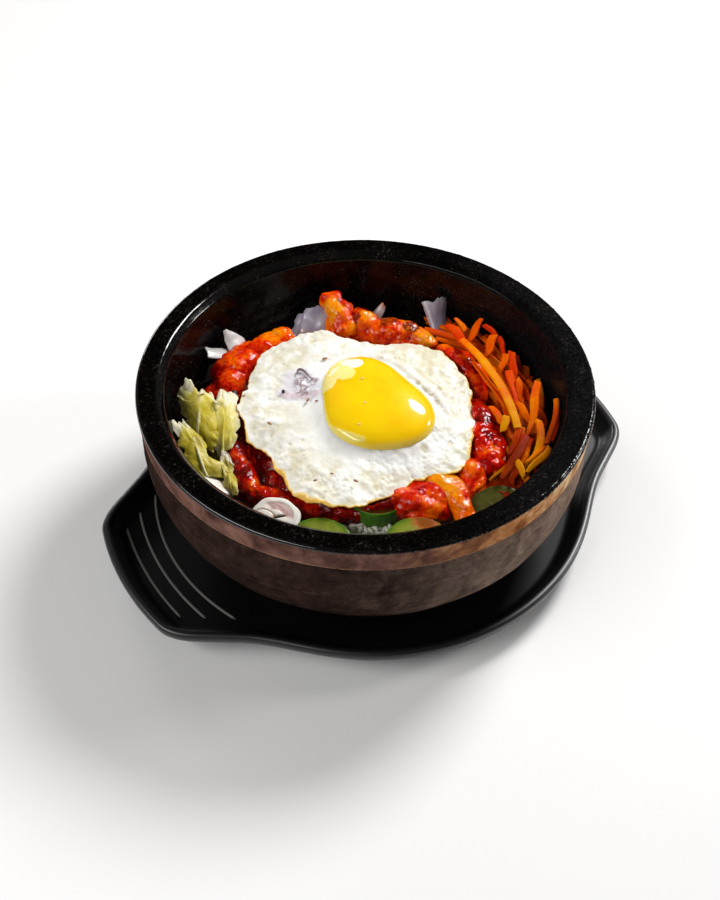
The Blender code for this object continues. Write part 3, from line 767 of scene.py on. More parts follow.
def friedEgg():
    sides = egg["sides"]
    angle = fullTurn(sides)
    reach = eggOutline(angle)
    shares = np.concatenate([np.linspace(0.25, 0.6, 34, endpoint=False),
                             np.linspace(0.6, 0.985, 52)])
    underShares = [0.92, 0.8, 0.6, 0.35]
    rims = [0.25, 0.55, 0.85, 1.0]  # turns of the rounded edge, from top to bottom
    rows, spotRows, lowRows = [], [], []
    for share in shares:
        ring = ringAt(angle, reach * share, 0, egg["centre"])
        ring[:, 2] = eggTop(ring[:, 1], share, angle)
        relief, spots, low = eggRelief(ring, np.full(sides, share), angle)
        ring[:, 2] -= relief
        rows.append(ring)
        spotRows.append(spots)
        lowRows.append(low)
    edgeThick = egg["thickness"] * 0.22
    last = rows[-1]
    for turn in rims:
        around = math.sin(turn * math.pi) * 0.009 + 0.985
        drop = edgeThick * (1 - math.cos(turn * math.pi)) / 2
        rows.append(ringAt(angle, reach * around, last[:, 2] + drop, egg["centre"]))
    for share in underShares:
        ring = ringAt(angle, reach * share, 0, egg["centre"])
        ring[:, 2] = eggTop(ring[:, 1], share, angle) + egg["thickness"] * (1 - 0.75 * share**4)
        rows.append(ring)
    points = np.concatenate(rows)
    plain = np.zeros(sides * (len(rims) + len(underShares)))
    share = np.repeat(np.concatenate([shares, [1] * len(rims), underShares]), sides)
    bearing = np.tile(angle, len(rows))
    width = np.full(len(points), 0.009)
    for middle, spread, much in egg["browning"]:
        width += much * np.exp(-((awayFrom(bearing, middle) / spread) ** 2))
    width *= 1 + 0.8 * lumps(points, 7, 21) + 0.5 * lumps(points, 3, 22)
    brown = 1 - smooth(0, 1, (1 - share) / np.maximum(width, 0.004))
    edge = yolkShare(points[:, 0], points[:, 1])
    thin = (1 - smooth(1.1, 1.5, edge)) * (0.7 + 0.3 * lumps(points, 6, 23))
    low = np.concatenate(lowRows + [plain])
    # towards the right edge the outer ring gets more of the painted hollow shade, darker and
    # yellower
    rightEdgeShade = smooth(0.3, 1.0, np.cos(bearing - math.radians(20))) * smooth(0.6, 1.0, share)
    low = np.clip(low + 0.5 * rightEdgeShade * (1 + lumps(points, 4, 24)), 0, 1)
    marks = dict(brown=brown, pit=np.concatenate(spotRows + [plain]), thin=np.clip(thin, 0, 1),
                 hollow=low, bruise=near(points, egg["bruise"]),
                 strand=near(points, egg["strands"]),
                 fold=near(stirred(points, 0.5, 3, 16), egg["fold"]))
    return newPiece("eggWhiteFried", inFood(points), ringFaces(len(rows), sides), eggFinish(),
                    ["egg_white"], marks)


def yolkFinish():
    f = Finish("egg yolk", glow=(0.4, 0.004, (1.0, 0.7, 0.1)), Specular_IOR_Level=0.1,
               Coat_Roughness=0.05, Coat_IOR=1.4)
    tones = yolk["tones"]
    cloud = f.noise(9, 2, 0.5)
    froth = 1 - f.cells(0.9).step(0.15, 0.5)
    ragged = (f.noise(1.3, 2, 0.6) - 0.5) * 0.5
    film = (f.mark("film") + ragged).step(0.3, 0.55)
    base = f.over(f.ramp(cloud, tones["yellow"]),
                  # painted light on the lower front
                  (tones["amber"], f.mark("amber") * 0.6),
                  # the film patch, partly a painted highlight
                  (f.mix(*tones["film"], froth), film * 0.88),
                  # a painted highlight
                  (tones["white"], (f.mark("white") + ragged).step(0.35, 0.55)),
                  # the pale band, partly a painted highlight
                  (tones["crescent"], (f.mark("crescent") + ragged * 0.5).step(0.35, 0.7) * 0.85),
                  # painted light at the dome's foot, partly its pale film
                  (tones["collar"], (f.mark("collar") * (cloud + 0.1)).clip()))
    return f.paint(Base_Color=base, Roughness=0.3 + film * 0.2, Coat_Weight=1.0 - film * 0.3,
                   Normal=f.bump(cloud * 0.5 + froth * film * 0.5, 0.25, 0.4))


def yolkPiece():
    sides, rings = yolk["sides"], yolk["rings"]
    angle = fullTurn(sides)
    reach = waved(yolk, angle)
    tall = yolk["base"] - yolk["top"]
    power = yolk["fullness"]
    rows = []
    for k in range(1, rings + 9):
        lift = math.pi / 2 * (1 - k / rings)  # the last rings tuck in below the widest line
        flat, high = math.cos(lift), math.sin(lift) * 0.6
        if k < rings:
            flat, high = flat ** (2 / power), math.sin(lift) ** (2 / power)
        ring = ringAt(angle, reach * flat, 0, yolk["centre"])
        ring[:, 2] = yolk["base"] - high * tall - egg["tilt"] * ring[:, 1]
        rows.append(ring)
    points = np.concatenate(rows)
    wobble = 0.35 * lumps(points, 12, 41) + 0.12 * lumps(points, 5, 42)
    # the film patch, partly a painted highlight
    film = near(points, yolk["film"])
    # where the painted highlight goes
    white = near(points, yolk["white"])
    # the pale band along the lower left edge, partly a painted highlight
    stops = np.array(yolk["crescent"])
    along = np.linspace(0, len(stops) - 1, 40)
    crescent = near(points, np.stack([np.interp(along, range(len(stops)), column)
                                      for column in stops.T], 1))
    froth = 1 - smooth(0.1, 0.7, bubbles(stirred(points, 0.5, 2, 44), 1.3, 43))
    points[:, 2] -= (wobble * 0.6 + np.maximum(film, white) * (0.16 + 0.07 * froth)
                     + crescent * 0.15)
    height = (yolk["base"] - egg["tilt"] * points[:, 1] - points[:, 2]) / tall
    # the lower front is painted lighter, as painted light
    marks = dict(film=film, white=white, crescent=crescent, amber=near(points, yolk["amber"]),
                 # the dome's foot is painted lighter, as painted light, partly its pale film
                 collar=1 - smooth(0.12, 0.42, height))
    return newPiece("yolkDome", inFood(points), ringFaces(len(rows), sides), yolkFinish(),
                    ["yolk"], marks)


# marinated meat

meats = {  # spots are (u, v, radius); a pull also has how far it moves the meat
    "meat_left": dict(warm=0.52, dark=-0.3, orange=((-39, 44, 7), (-30, 47, 6), (-42, 20, 4)),
                      brown=((-50, 36, 3),)),
    "meat_back_lobe": dict(warm=0.66, dark=0.02, orange=((-15, 57, 6),),
                           brown=((-9, 61, 5.5),), swell=-0.2,
                           pull=((-17, 65, 10, (0.4, 0, 2.4)), (-18.5, 66, 4.5, (-2.2, 0, 0.8)))),
    "meat_back": dict(warm=0.68, dark=0.2, orange=((27, 47, 5), (0, 55, 4)),
                      brown=((10, 55, 6), (19, 51, 5), (-3, 60, 6), (-6, 54, 4))),
    "meat_upper_right": dict(warm=0.42, dark=0.06, orange=((33, 41, 4),), brown=((44, 27, 6),)),
    "meat_right": dict(warm=0.24, dark=0.26, orange=((51, -21, 5), (46, 12, 5)),
                       brown=((48, -4, 6),)),
    "meat_lower_right": dict(warm=0.6, dark=0.0, orange=((41, -30, 4),), brown=((46, -38, 3),)),
    "meat_slab": dict(warm=0.7, dark=-0.12, orange=((31, -38, 9),), brown=((31, -46, 5.5),),
                      pull=((32, -39, 16, (1.4, 2.4, -1.6)), (28, -37, 6, (-2, 1.5, -1)),
                            (38, -50, 6, (1.5, -1.5, 0)))),
    "meat_front": dict(warm=0.5, dark=-0.1, orange=((27, -46, 6),), brown=((7, -43, 9),),
                       pull=((20, -43, 18, (0, 2.4, -1.6)), (8, -41, 8, (-2, -2, -2)))),
    "meat_long": dict(warm=0.3, dark=0.1, orange=((-41, -36, 4),),
                      brown=((-52, -19, 4), (-12, -46, 9), (-50, -32, 5)), swell=-1.0,
                      pull=((-51, -18, 18, (2.2, 2.6, -2.2)),)),
}
meat = dict(
    voxel=0.5,
    swell=0.6,
    chunk=(8.0, 2.6),  # size and height of each kind of lump
    knob=(2.7, 0.62),
    waves=(11.0, 0.8),
    fine=(1.1, 0.07),
    tones=dict(
        glaze=((0.0, 112, 0, 0), (0.25, 172, 6, 0), (0.48, 212, 34, 0), (0.7, 234, 84, 0),
               (0.88, 238, 112, 0), (1.0, 240, 142, 6)),
        dark=((34, 1, 1), (80, 5, 5)),
        fleck=(236, 110, 20),
    ),
)


def meatFinish():
    f = Finish("glazed meat", glow=(0.1, 0.002, (1.0, 0.2, 0.05)), Specular_IOR_Level=0.27)
    tones = meat["tones"]
    cloud = f.noise(4.5, 4, 0.65, warp=0.8)
    fine = f.noise(1.2, 3, 0.6)
    ripple = f.noise(1.4, 2, 0.5)
    warm = (f.mark("warm") + (cloud - 0.5) * 1.5 + (fine - 0.5) * 0.4).clip()
    dark = (f.mark("dark") + (f.noise(3.4, 3, 0.65) - 0.5) * 1.5).step(0.35, 0.85)
    wet = f.noise(5.0, 3, 0.65).step(0.4, 0.62)
    # the dark mark carries painted shade in the creases as well as darker spots
    base = f.over(f.ramp(warm, tones["glaze"]),
                  (f.mix(*tones["dark"], fine), dark * 0.88),
                  (tones["fleck"], f.noise(0.8, 2, 0.5).step(0.66, 0.74) * 0.45))
    return f.paint(Base_Color=base, Roughness=0.11 - wet * 0.07,
                   Normal=f.bump(ripple * (0.45 + wet * 0.55), 0.5, 0.85))


def shaped(obj, *steps):
    # points and faces of the object's mesh after these modifiers; the object stays as it is
    copy = bpy.data.objects.new("shaping", obj.data.copy())
    bpy.context.scene.collection.objects.link(copy)
    for kind, settings in steps:
        step = copy.modifiers.new(kind.lower(), kind)
        for label, value in settings.items():
            setattr(step, label, value)
    bpy.context.view_layer.update()
    mesh = copy.evaluated_get(bpy.context.evaluated_depsgraph_get()).to_mesh()
    points = np.empty(len(mesh.vertices) * 3)
    mesh.vertices.foreach_get("co", points)
    faces = [list(p.vertices) for p in mesh.polygons]
    bpy.data.objects.remove(copy, do_unlink=True)
    return points.reshape(-1, 3), faces


def underEgg(points):
    u, v = points[:, 0] - egg["centre"][0], points[:, 1] - egg["centre"][1]
    return 1 - smooth(-2.5, -0.2, np.hypot(u, v) - waved(egg, np.arctan2(v, u)))


def meatPiece(name, finish, seed):
    points, faces = shaped(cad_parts[name],
                           ("REMESH", {"mode": "VOXEL", "voxel_size": meat["voxel"] / 1000}),
                           ("SMOOTH", {"factor": 0.6, "iterations": 9}))
    points = toFood(points)
    quads = np.array([face if len(face) == 4 else face + face[-1:] for face in faces])
    out = upsideDown(normalsOf(upsideDown(points), quads))
    size, much = meat["waves"]
    look = meats[name]
    height = look.get("swell", meat["swell"]) + much * lumps(points, size, 59 + seed * 7)
    size, much = meat["chunk"]
    away, own = chunks(stirred(points, 1.6, 5, 20 + seed), size, 60 + seed * 7)
    height += much * (0.36 - away ** 2)
    size, much = meat["knob"]
    knob = bubbles(stirred(points, 0.6, 2.5, 30 + seed), size, 65 + seed)
    height += much * (0.36 - knob ** 2)
    size, much = meat["fine"]
    height += much * lumps(points, size, 66 + seed)
    sheltered = underEgg(points)
    height = height * (1 - sheltered) - 0.6 * sheltered
    points = points + out * height[:, None]
    for u, v, radius, move in look.get("pull", ()):
        points = points + near(points, ((u, v, radius),))[:, None] * move
    # painted shade in the creases between chunks and knobs: less warm and darker there
    crease = smooth(0.5, 0.85, away) * 0.5 + smooth(0.5, 0.9, knob) * 0.25
    warm = (look["warm"] + 0.34 * near(points, look["orange"]) + 0.2 * (own - 0.5)
            + 0.2 * lumps(points, 8, seed) - 0.25 * crease)
    dark = look["dark"] + 0.5 * near(points, look["brown"]) + 0.65 * crease - 0.15 * own
    return newPiece(name + "_glazed", inFood(points), faces, finish, [name],
                    dict(warm=warm, dark=dark))


# thin leaves and petals

def sheetMesh(middle, thickness):
    # a closed body from a grid of points through its middle and the thickness there
    rows, columns = thickness.shape
    high = upsideDown(middle)
    normal = upsideDown(unit(np.cross(np.gradient(high, axis=1), np.gradient(high, axis=0))))
    half = normal * thickness[..., None] / 2
    points = np.concatenate([(middle + half).reshape(-1, 3), (middle - half).reshape(-1, 3)])
    front = gridFaces(rows, columns, closed=False)
    count = rows * columns
    rim = ([(0, j) for j in range(columns)] + [(i, columns - 1) for i in range(1, rows)]
           + [(rows - 1, j) for j in range(columns - 2, -1, -1)]
           + [(i, 0) for i in range(rows - 2, 0, -1)])
    rim = np.array([i * columns + j for i, j in rim])
    after = np.roll(rim, -1)
    wall = np.stack([rim, after, after + count, rim + count], 1)
    return points, np.concatenate([front[:, ::-1], front + count, wall]).tolist()


def sheetMarks(marks, sheets=1):
    # values on a sheet's grid, for the two faces of each sheet
    return {label: np.tile(values.ravel(), 2 * sheets) for label, values in marks.items()}


def sheetPlaces(x, y, apart):
    # places on the sheet laid flat, where noise is read
    return np.stack([x, y, np.full_like(x, apart)], -1).reshape(-1, 3)


cabbages = {  # each leaf: corners round it from the top left, bulge, paleness, shade
    "cabbage_upper": (
        (((-76, 6, 9.5), (-58, 1, 14), (-57, -22, 26), (-71, -14, 22)), 2.6, 0.2, 0.0),
        (((-61, 2, 15.5), (-52.5, 8, 17), (-50.5, -20, 22), (-59, -22, 25.5)), 1.6, 0.4, 0.1),
    ),
    "cabbage_lower": (
        (((-71, -4, 24), (-60, -2, 24), (-53, -24, 28), (-65, -21, 28)), 0.8, 0.0, 0.7),
        (((-75.5, -13, 15), (-68.5, -12, 17.5), (-52, -32, 27), (-67, -35, 24)), 2.2, 0.05, 0.0),
        (((-59, -22, 25), (-52, -21, 25), (-45.5, -42, 27), (-53, -41.5, 27)), 1.2, 0.3, 0.2),
    ),
}


leaves = dict(
    columns=64,
    rows=72,
    width=17,
    length=24,
    thickness=0.55,
    tones=dict(
        green=((0.0, 150, 132, 8), (0.3, 204, 184, 38), (0.55, 222, 208, 102),
               (0.85, 242, 234, 196)),
        shade=(82, 66, 6),
        vein=(232, 226, 160),
        rib=(230, 226, 176),
    ),
)


def cabbageFinish():
    f = Finish("cabbage leaf", glow=(0.3, 0.003, (0.8, 1.0, 0.3)), Specular_IOR_Level=0.35)
    tones = leaves["tones"]
    cloud = f.noise(5, 3, 0.6)
    fine = f.noise(1.6, 3, 0.6)
    vein = f.mark("vein")
    tone = (f.mark("pale") * 0.8 + cloud * 0.6 - 0.12).clip()
    base = f.over(f.ramp(tone, tones["green"]),
                  (tones["shade"], (f.mark("shade") * (1.3 - cloud)).clip() * 0.85),
                  (tones["vein"], vein * 0.25),
                  (tones["rib"], f.mark("rib") * 0.9))
    return f.paint(Base_Color=base, Roughness=0.32 + fine * 0.15,
                   Normal=f.bump(vein * 0.3 + fine * 0.5 + cloud * 0.7, 0.35, 0.5))


def cabbageLeaf(leaf, seed):
    corners, bulge, paleness, shade = leaf
    x, y = np.meshgrid(np.linspace(0, 1, leaves["columns"]),
                       np.linspace(0, 1, leaves["rows"]))
    grid = sheetPlaces(x * leaves["width"], y * leaves["length"], seed * 13.0)

    def wave(size, k):
        return lumps(grid, size, seed * 10 + k).reshape(x.shape)

    topLeft, topRight, lowRight, lowLeft = upsideDown(np.array(corners, float))
    width = np.linalg.norm(topRight - topLeft)
    frilly = min(1.0, width / leaves["width"])  # small leaves have a calmer edge
    off = 2 * x - 1
    side = off ** 4
    frill = 0.12 * wave(4.0, 1) + 0.12 * wave(1.7, 2) + 0.1 * side
    drop = y + frill * frilly * (1 - y) ** 2
    inward = off ** 3 * (3.2 * wave(7, 3) + 2.3 * wave(2.0, 4) * frilly) / width
    across = (x + inward - off * (0.12 + 0.16 * y) * np.abs(2 * y - 1) ** 3)[..., None]
    drop = drop[..., None]
    points = ((topLeft * (1 - across) + topRight * across) * (1 - drop)
              + (lowLeft * (1 - across) + lowRight * across) * drop)
    normal = unit(np.cross(topRight - lowLeft, topLeft - lowRight))
    normal *= np.sign(normal[2])
    rim = 1 - smooth(0.0, 0.22, y)
    lift = bulge * 4 * x * (1 - x) * (0.4 + 0.6 * np.sin(math.pi * y))
    cell = bubbles(stirred(grid, 0.8, 3, seed * 10 + 14), 3.6, seed * 10 + 15).reshape(x.shape)
    lift += 1.5 * wave(9, 5) + 0.4 * (0.4 - np.abs(wave(5.5, 6))) + 0.15 * wave(2.6, 7)
    lift += 0.25 * (0.5 - cell) * smooth(0.08, 0.25, y)
    lift += np.maximum(rim, 0.6 * side) * (1.8 * wave(3.2, 8) + 0.9 * wave(1.5, 9)) * frilly
    rib = np.exp(-(((x - 0.62 + 0.3 * y) / 0.035) ** 2)) * smooth(0.42, 0.55, y)
    points = points + normal * (lift + 0.5 * rib)[..., None]
    body, faces = sheetMesh(upsideDown(points), leaves["thickness"] + 0.3 * rib)
    pale = np.clip(paleness + 0.85 * (1 - smooth(0.0, 0.3, y + 0.1 * wave(3, 10)))
                   + 0.3 * side + 0.3 * wave(7, 11), 0, 1)
    branch = (y * 4 - np.abs(x - 0.5) * 2.4 + 0.25 * wave(5, 12)) % 1
    vein = np.exp(-(((branch - 0.5) / 0.06) ** 2)) * smooth(0.1, 0.3, y) * 0.6
    vein = np.maximum(vein, smooth(0.6, 0.95, cell))
    shades = np.clip(shade + 0.8 * smooth(0.72, 1.0, y) * (0.6 + wave(5, 13)), 0, 0.95)
    marks = dict(pale=pale, rib=rib * (shade == 0), vein=vein, shade=shades)
    return body, faces, sheetMarks(marks)


def cabbage(name, finish, seed):
    parts = [cabbageLeaf(leaf, seed + k) for k, leaf in enumerate(cabbages[name])]
    points, faces, marks = joined(parts)
    return newPiece(name + "_leaves", inFood(points), faces, finish, [name], marks)


onions = {  # top and bottom are (u, v, depth); widths at the top, middle and bottom
    "onion_left_upper": dict(top=(-60.5, 44, 15.8), bottom=(-54.5, 40, 23), widths=(0.9, 3.8, 5.6),
                             curl=0.4, lilac=0.15),
    "onion_left_lower": dict(top=(-67.5, 32.5, 18.6), bottom=(-59, 36, 22), widths=(3.2, 3.4, 3.0),
                             curl=0.2, lilac=0.1),
    "onion_back_left": dict(top=(-21, 63, 17), bottom=(-23, 53, 26), widths=(5, 6.5, 6.5),
                            curl=1.2, lilac=0.85, slant=0.12,
                            petals=((0.8, 0, 0), (4.6, 3.4, 1.4))),
    "onion_back_sliver": dict(top=(7, 68, 19), bottom=(1, 62, 26), widths=(0.9, 2.6, 2.2),
                              curl=1.0, lilac=0.2, stain=(1.0, 1.0)),
    "onion_back_right": dict(top=(29.5, 66, 14.5), bottom=(33.5, 53, 27), widths=(5.6, 4.2, 3.8),
                             curl=1.6, lilac=0.9, notch=0.09),
}


petal = dict(
    columns=48,
    rows=44,
    thickness=0.9,
    tones=dict(
        pale=(210, 204, 200),
        lilac=(142, 134, 156),
        stripe=(226, 220, 222),
        stain=(222, 120, 60),
    ),
)


def onionFinish():
    f = Finish("onion petal", glow=(0.45, 0.006, (0.9, 0.9, 1.0)), Coat_Weight=0.5,
               Coat_Roughness=0.12)
    tones = petal["tones"]
    fine = f.noise(1.6, 2, 0.5)
    stripe = f.mark("stripe")
    base = f.over(tones["pale"], (tones["lilac"], f.mark("lilac")),
                  (tones["stripe"], stripe * 0.06), (tones["stain"], f.mark("stain") * 0.8))
    return f.paint(Base_Color=base, Roughness=0.28 + fine * 0.14,
                   Normal=f.bump(stripe * 0.1 + fine * 0.5, 0.2, 0.4))


def onion(name, finish, seed):
    look = onions[name]
    start, end = upsideDown(np.array((look["top"], look["bottom"]), float))
    fall = end - start
    side = unit(np.cross(fall, (0, 0, 1)))
    normal = unit(np.cross(side, fall))
    x, y = np.meshgrid(np.linspace(-1, 1, petal["columns"]), np.linspace(0, 1, petal["rows"]))
    first, middle, last = look["widths"]
    half = first * (1 - y) * (1 - 2 * y) + middle * 4 * y * (1 - y) + last * y * (2 * y - 1)
    grid = sheetPlaces(x * 8, y * 14, seed * 9.0)
    soft = lumps(grid, 6, seed).reshape(x.shape)
    torn = layered(grid, 3.2, seed + 5).reshape(x.shape)
    notch = look.get("notch", 0) * np.maximum(0, 1 - np.abs(x - 0.15) * 2.6)
    drop = y + (notch + 0.03 * soft + 0.07 * torn + look.get("slant", 0) * x) * (1 - y) ** 2
    lift = look["curl"] * x * x + 0.7 * soft
    wide = x * half * (1 + 0.14 * torn * np.abs(x))
    thickness = petal["thickness"] * (1 - 0.45 * np.abs(x) ** 4)
    parts = []
    for across, down, out in look.get("petals", ((0, 0, 0),)):
        points = (start + fall * drop[..., None] + side * (wide + across)[..., None]
                  - normal * (lift + out)[..., None] - np.array((0, 0, down)))
        parts.append((*sheetMesh(upsideDown(points), thickness), {}))
    body, faces, _ = joined(parts)
    stripe = np.clip(0.5 + 0.5 * np.sin(x * 40 + soft * 3), 0, 1)
    tip, foot = look.get("stain", (0.0, 0.35))
    stain = tip * (1 - smooth(0.0, 0.25, y)) + foot * smooth(0.75, 1.0, y)
    marks = dict(stripe=stripe, lilac=look["lilac"] + 0.3 * soft, stain=stain)
    return newPiece(name + "_petal", inFood(body), faces, finish, [name],
                    sheetMarks(marks, len(parts)))


# slices

def placed(points, centre, lean, bearing, turn=0.0):
    # flat slice points (x, y, up) leaned down towards a bearing and moved to their place
    a, b, t = (math.radians(angle) for angle in (lean, bearing, turn))
    x, y, z = points.T
    along, across = turned(*turned(x, y, t), -b)
    along, down = along * math.cos(a) + z * math.sin(a), along * math.sin(a) - z * math.cos(a)
    u, v = turned(along, across, b)
    return np.stack([centre[0] + u, centre[1] + v, centre[2] + down], 1)


cucumbers = {  # lean towards the front, faces the way the cut side is turned
    "cucumber_left": dict(centre=(-16, -66, 30), radius=14, thickness=4, lean=14, faces=80),
    "cucumber_skin": dict(centre=(5.5, -39, 29.6), radius=11.8, thickness=11, lean=3, faces=-88,
                          covered=1.8),
    "cucumber_front": dict(centre=(21, -65, 29.5), radius=14, thickness=4, lean=14, faces=100),
    # the right slice is painted darker, as painted shade
    "cucumber_right": dict(centre=(53, -48, 30.5), radius=14, thickness=4, lean=24, faces=120,
                           dim=0.82),
}


cucumberCut = dict(
    columns=96,
    straight=0.12,  # how far past its middle the slice is cut off, as a share of its radius
    rounding=0.5,
    sauced=((24, -52, 7), (7, -44, 3)),
    tones=dict(
        flesh=((0.02, 70, 96, 12), (0.14, 118, 136, 28), (0.32, 142, 150, 52),
               (0.55, 128, 136, 48)),
        seed=(206, 204, 146),
        skin=((40, 80, 8), (88, 146, 24)),
        dim=(52, 38, 8),
        sauce=((176, 74, 8), (72, 3, 1)),
    ),
)


def cucumberFinish():
    f = Finish("cucumber", glow=(0.35, 0.005, (0.6, 1.0, 0.3)), Coat_Weight=0.15,
               Coat_Roughness=0.25, Specular_IOR_Level=0.25)
    tones = cucumberCut["tones"]
    fine = f.noise(1.2, 3, 0.6)
    depth = f.mark("depth")  # millimetres in from the skin
    seeds = f.mark("seed")
    sauce = f.mark("sauce")
    skin = f.mix(*tones["skin"], f.noise(2.4, 3, 0.6, stretch=(1, 1, 0.3)))
    sauceTone = f.mix(*tones["sauce"], ((sauce - 0.9) * 4).clip())
    # a slice that lies in shade is painted darker, as painted shade
    base = f.over(f.ramp(depth * 0.08 + (fine - 0.5) * 0.12, tones["flesh"]),
                  (tones["seed"], seeds * 0.7),
                  (skin, f.mark("skin")),
                  (tones["dim"], f.mark("dim")),
                  (sauceTone, (sauce * (fine * 2)).clip() * 0.9))
    return f.paint(Base_Color=base, Roughness=0.25 + fine * 0.2,
                   Normal=f.bump(fine * 0.6 + seeds * 0.5, 0.35, 0.5))


def cucumber(name, finish, seed):
    look = cucumbers[name]
    radius, thick = look["radius"], look["thickness"]
    columns, cut, rounding = (cucumberCut[k] for k in ("columns", "straight", "rounding"))
    spread = math.acos(-cut)
    angle = np.linspace(-spread, spread, columns)
    flat = 1 - rounding / radius
    section = [(share, thick / 2, 0.0) for share in np.linspace(0.02, flat, 34)]
    for t in np.linspace(0.3, math.pi / 2, 5):
        section.append((1 - rounding / radius * (1 - math.sin(t)),
                        thick / 2 - rounding * (1 - math.cos(t)), 1.0))
    section += [(1.0, z, 1.0) for z in np.linspace(thick / 2 - rounding, -thick / 2, 10)[1:]]
    section += [(0.5, -thick / 2, 0.0), (0.02, -thick / 2, 0.0)]
    points = np.concatenate([
        np.stack([-cut * radius + share * (radius * np.cos(angle) + cut * radius),
                  share * radius * np.sin(angle), np.full(columns, z)], 1)
        for share, z, rind in section])
    depth = radius - np.hypot(points[:, 0], points[:, 1])
    skin = np.repeat([rind for share, z, rind in section], columns)
    top = points[:, 2] >= thick / 2 - 0.01
    bearing = np.arctan2(points[:, 1], points[:, 0])
    ringed = np.exp(-(((depth - radius * 0.55) / 1.8) ** 2))
    seedling = ringed * smooth(0.35, 0.85, np.cos(bearing * 14 + depth)) * top
    points[:, 2] += 0.18 * lumps(points, 2.4, seed) * top - 0.25 * ringed * top
    points[:, 2] += 0.25 * seedling
    points = placed(points, look["centre"], look["lean"], -90, look["faces"])
    count = len(points)
    faces = gridFaces(len(section), columns, closed=False).tolist()
    faces += [list(range(0, count, columns)), list(range(columns - 1, count, columns))[::-1],
              list(range(columns))[::-1], list(range(count - columns, count))]
    sauce = near(points, cucumberCut["sauced"])
    covered = look.get("covered", 0) * (0.8 + 0.4 * lumps(points, 4, 9))
    marks = dict(depth=depth, skin=skin, seed=seedling, dim=np.full(count, look.get("dim", 0)),
                 sauce=np.maximum(sauce, covered * (1 - skin)))
    return newPiece(name + "_slice", inFood(points), faces, finish, [name], marks)


mushrooms = {
    "mushroom_front": dict(centre=(-33, -52.5, 25.5), radii=(9.6, 7.8), thickness=3.2, lean=14,
                           bearing=-90, gills=1),
    "mushroom_left": dict(centre=(-57.6, -37.4, 26.3), radii=(8.4, 5.4), thickness=3.2, lean=32,
                          bearing=40, gills=0),
}


mushroomCut = dict(
    sides=120,
    tones=dict(
        flesh=((248, 234, 216), (255, 250, 242)),
        gill=((206, 160, 156), (244, 224, 212)),
        # a painted shadow round the stem
        crease=(150, 118, 104),
        slot=(58, 24, 16),
    ),
)


def mushroomFinish():
    f = Finish("mushroom slice", glow=(0.25, 0.004, (1.0, 0.8, 0.6)))
    tones = mushroomCut["tones"]
    fine = f.noise(1.0, 3, 0.6)
    gill = f.mark("gill")
    streak = f.mark("streak")
    base = f.over(f.mix(*tones["flesh"], fine),
                  (f.mix(*tones["gill"], streak), (gill * (0.4 + fine)).clip()),
                  (tones["crease"], f.mark("crease") * 0.6),
                  (tones["slot"], f.mark("slot")))
    return f.paint(Base_Color=base, Roughness=0.42 + fine * 0.2,
                   Normal=f.bump(fine * 0.5 + streak * gill * 0.4, 0.3, 0.5))


def mushroom(name, finish, seed):
    look = mushrooms[name]
    sides = mushroomCut["sides"]
    angle = fullTurn(sides)
    thick = look["thickness"]
    section = [(share, 0.5) for share in np.linspace(0.03, 0.9, 40)]
    section += [(0.9 + 0.1 * math.sin(t), 0.5 * math.cos(t)) for t in
                np.linspace(0.35, math.pi - 0.35, 8)]
    section += [(0.9, -0.5), (0.4, -0.5), (0.03, -0.5)]
    rows = []
    for share, z in section:
        wobble = 1 + 0.03 * np.sin(3 * angle + seed) + 0.02 * np.sin(7 * angle)
        x = look["radii"][0] * share * np.cos(angle) * wobble
        y = look["radii"][1] * share * np.sin(angle) * wobble
        rows.append(np.stack([x, y, np.full(sides, z * thick)], 1))
    points = np.concatenate(rows)
    x, y = points[:, 0] / look["radii"][0], points[:, 1] / look["radii"][1]
    top = (points[:, 2] > thick * 0.49).astype(float)
    # the cap is an arch over the gills, the stem a tongue at the lower left
    reach = np.hypot(x, y)
    bearing = np.arctan2(y, x)
    gill = (smooth(0.2, 0.35, reach) * (1 - smooth(0.66, 0.78, reach)) * look["gills"]
            * smooth(0.1, 0.6, np.cos(bearing - 0.95)) * top)
    slot = (1 - smooth(0.6, 1.0, np.hypot((x - 0.12) / 0.34, (y + 0.1 - 0.2 * x) / 0.1))) * top
    slot *= look["gills"]
    tongue = np.hypot((x + 0.44 + 0.2 * y) / 0.4, (y + 0.14) / 0.44)
    stem = (1 - smooth(0.75, 1.0, tongue)) * top * look["gills"]
    # a painted shadow in a shallow groove round the stem
    crease = np.exp(-(((tongue - 1.04) / 0.09) ** 2)) * (y > -0.55) * top * look["gills"]
    slanting = np.stack([x * 5 + y * 5, x * 0, y * 0], 1)
    streak = smooth(-0.6, 0.6, layered(slanting, 1, seed))
    gill = gill * (1 - stem)
    points[:, 2] -= 0.3 * gill * top + 1.3 * slot - 1.1 * stem + 0.5 * crease
    points[:, 2] += 0.15 * lumps(points, 2.2, seed) * top
    points = placed(points, look["centre"], look["lean"], look["bearing"])
    marks = dict(gill=gill, slot=slot * (1 - stem), streak=streak, crease=crease)
    return newPiece(name + "_cut", inFood(points), ringFaces(len(rows), sides), finish,
                    [name], marks)


# carrot sticks

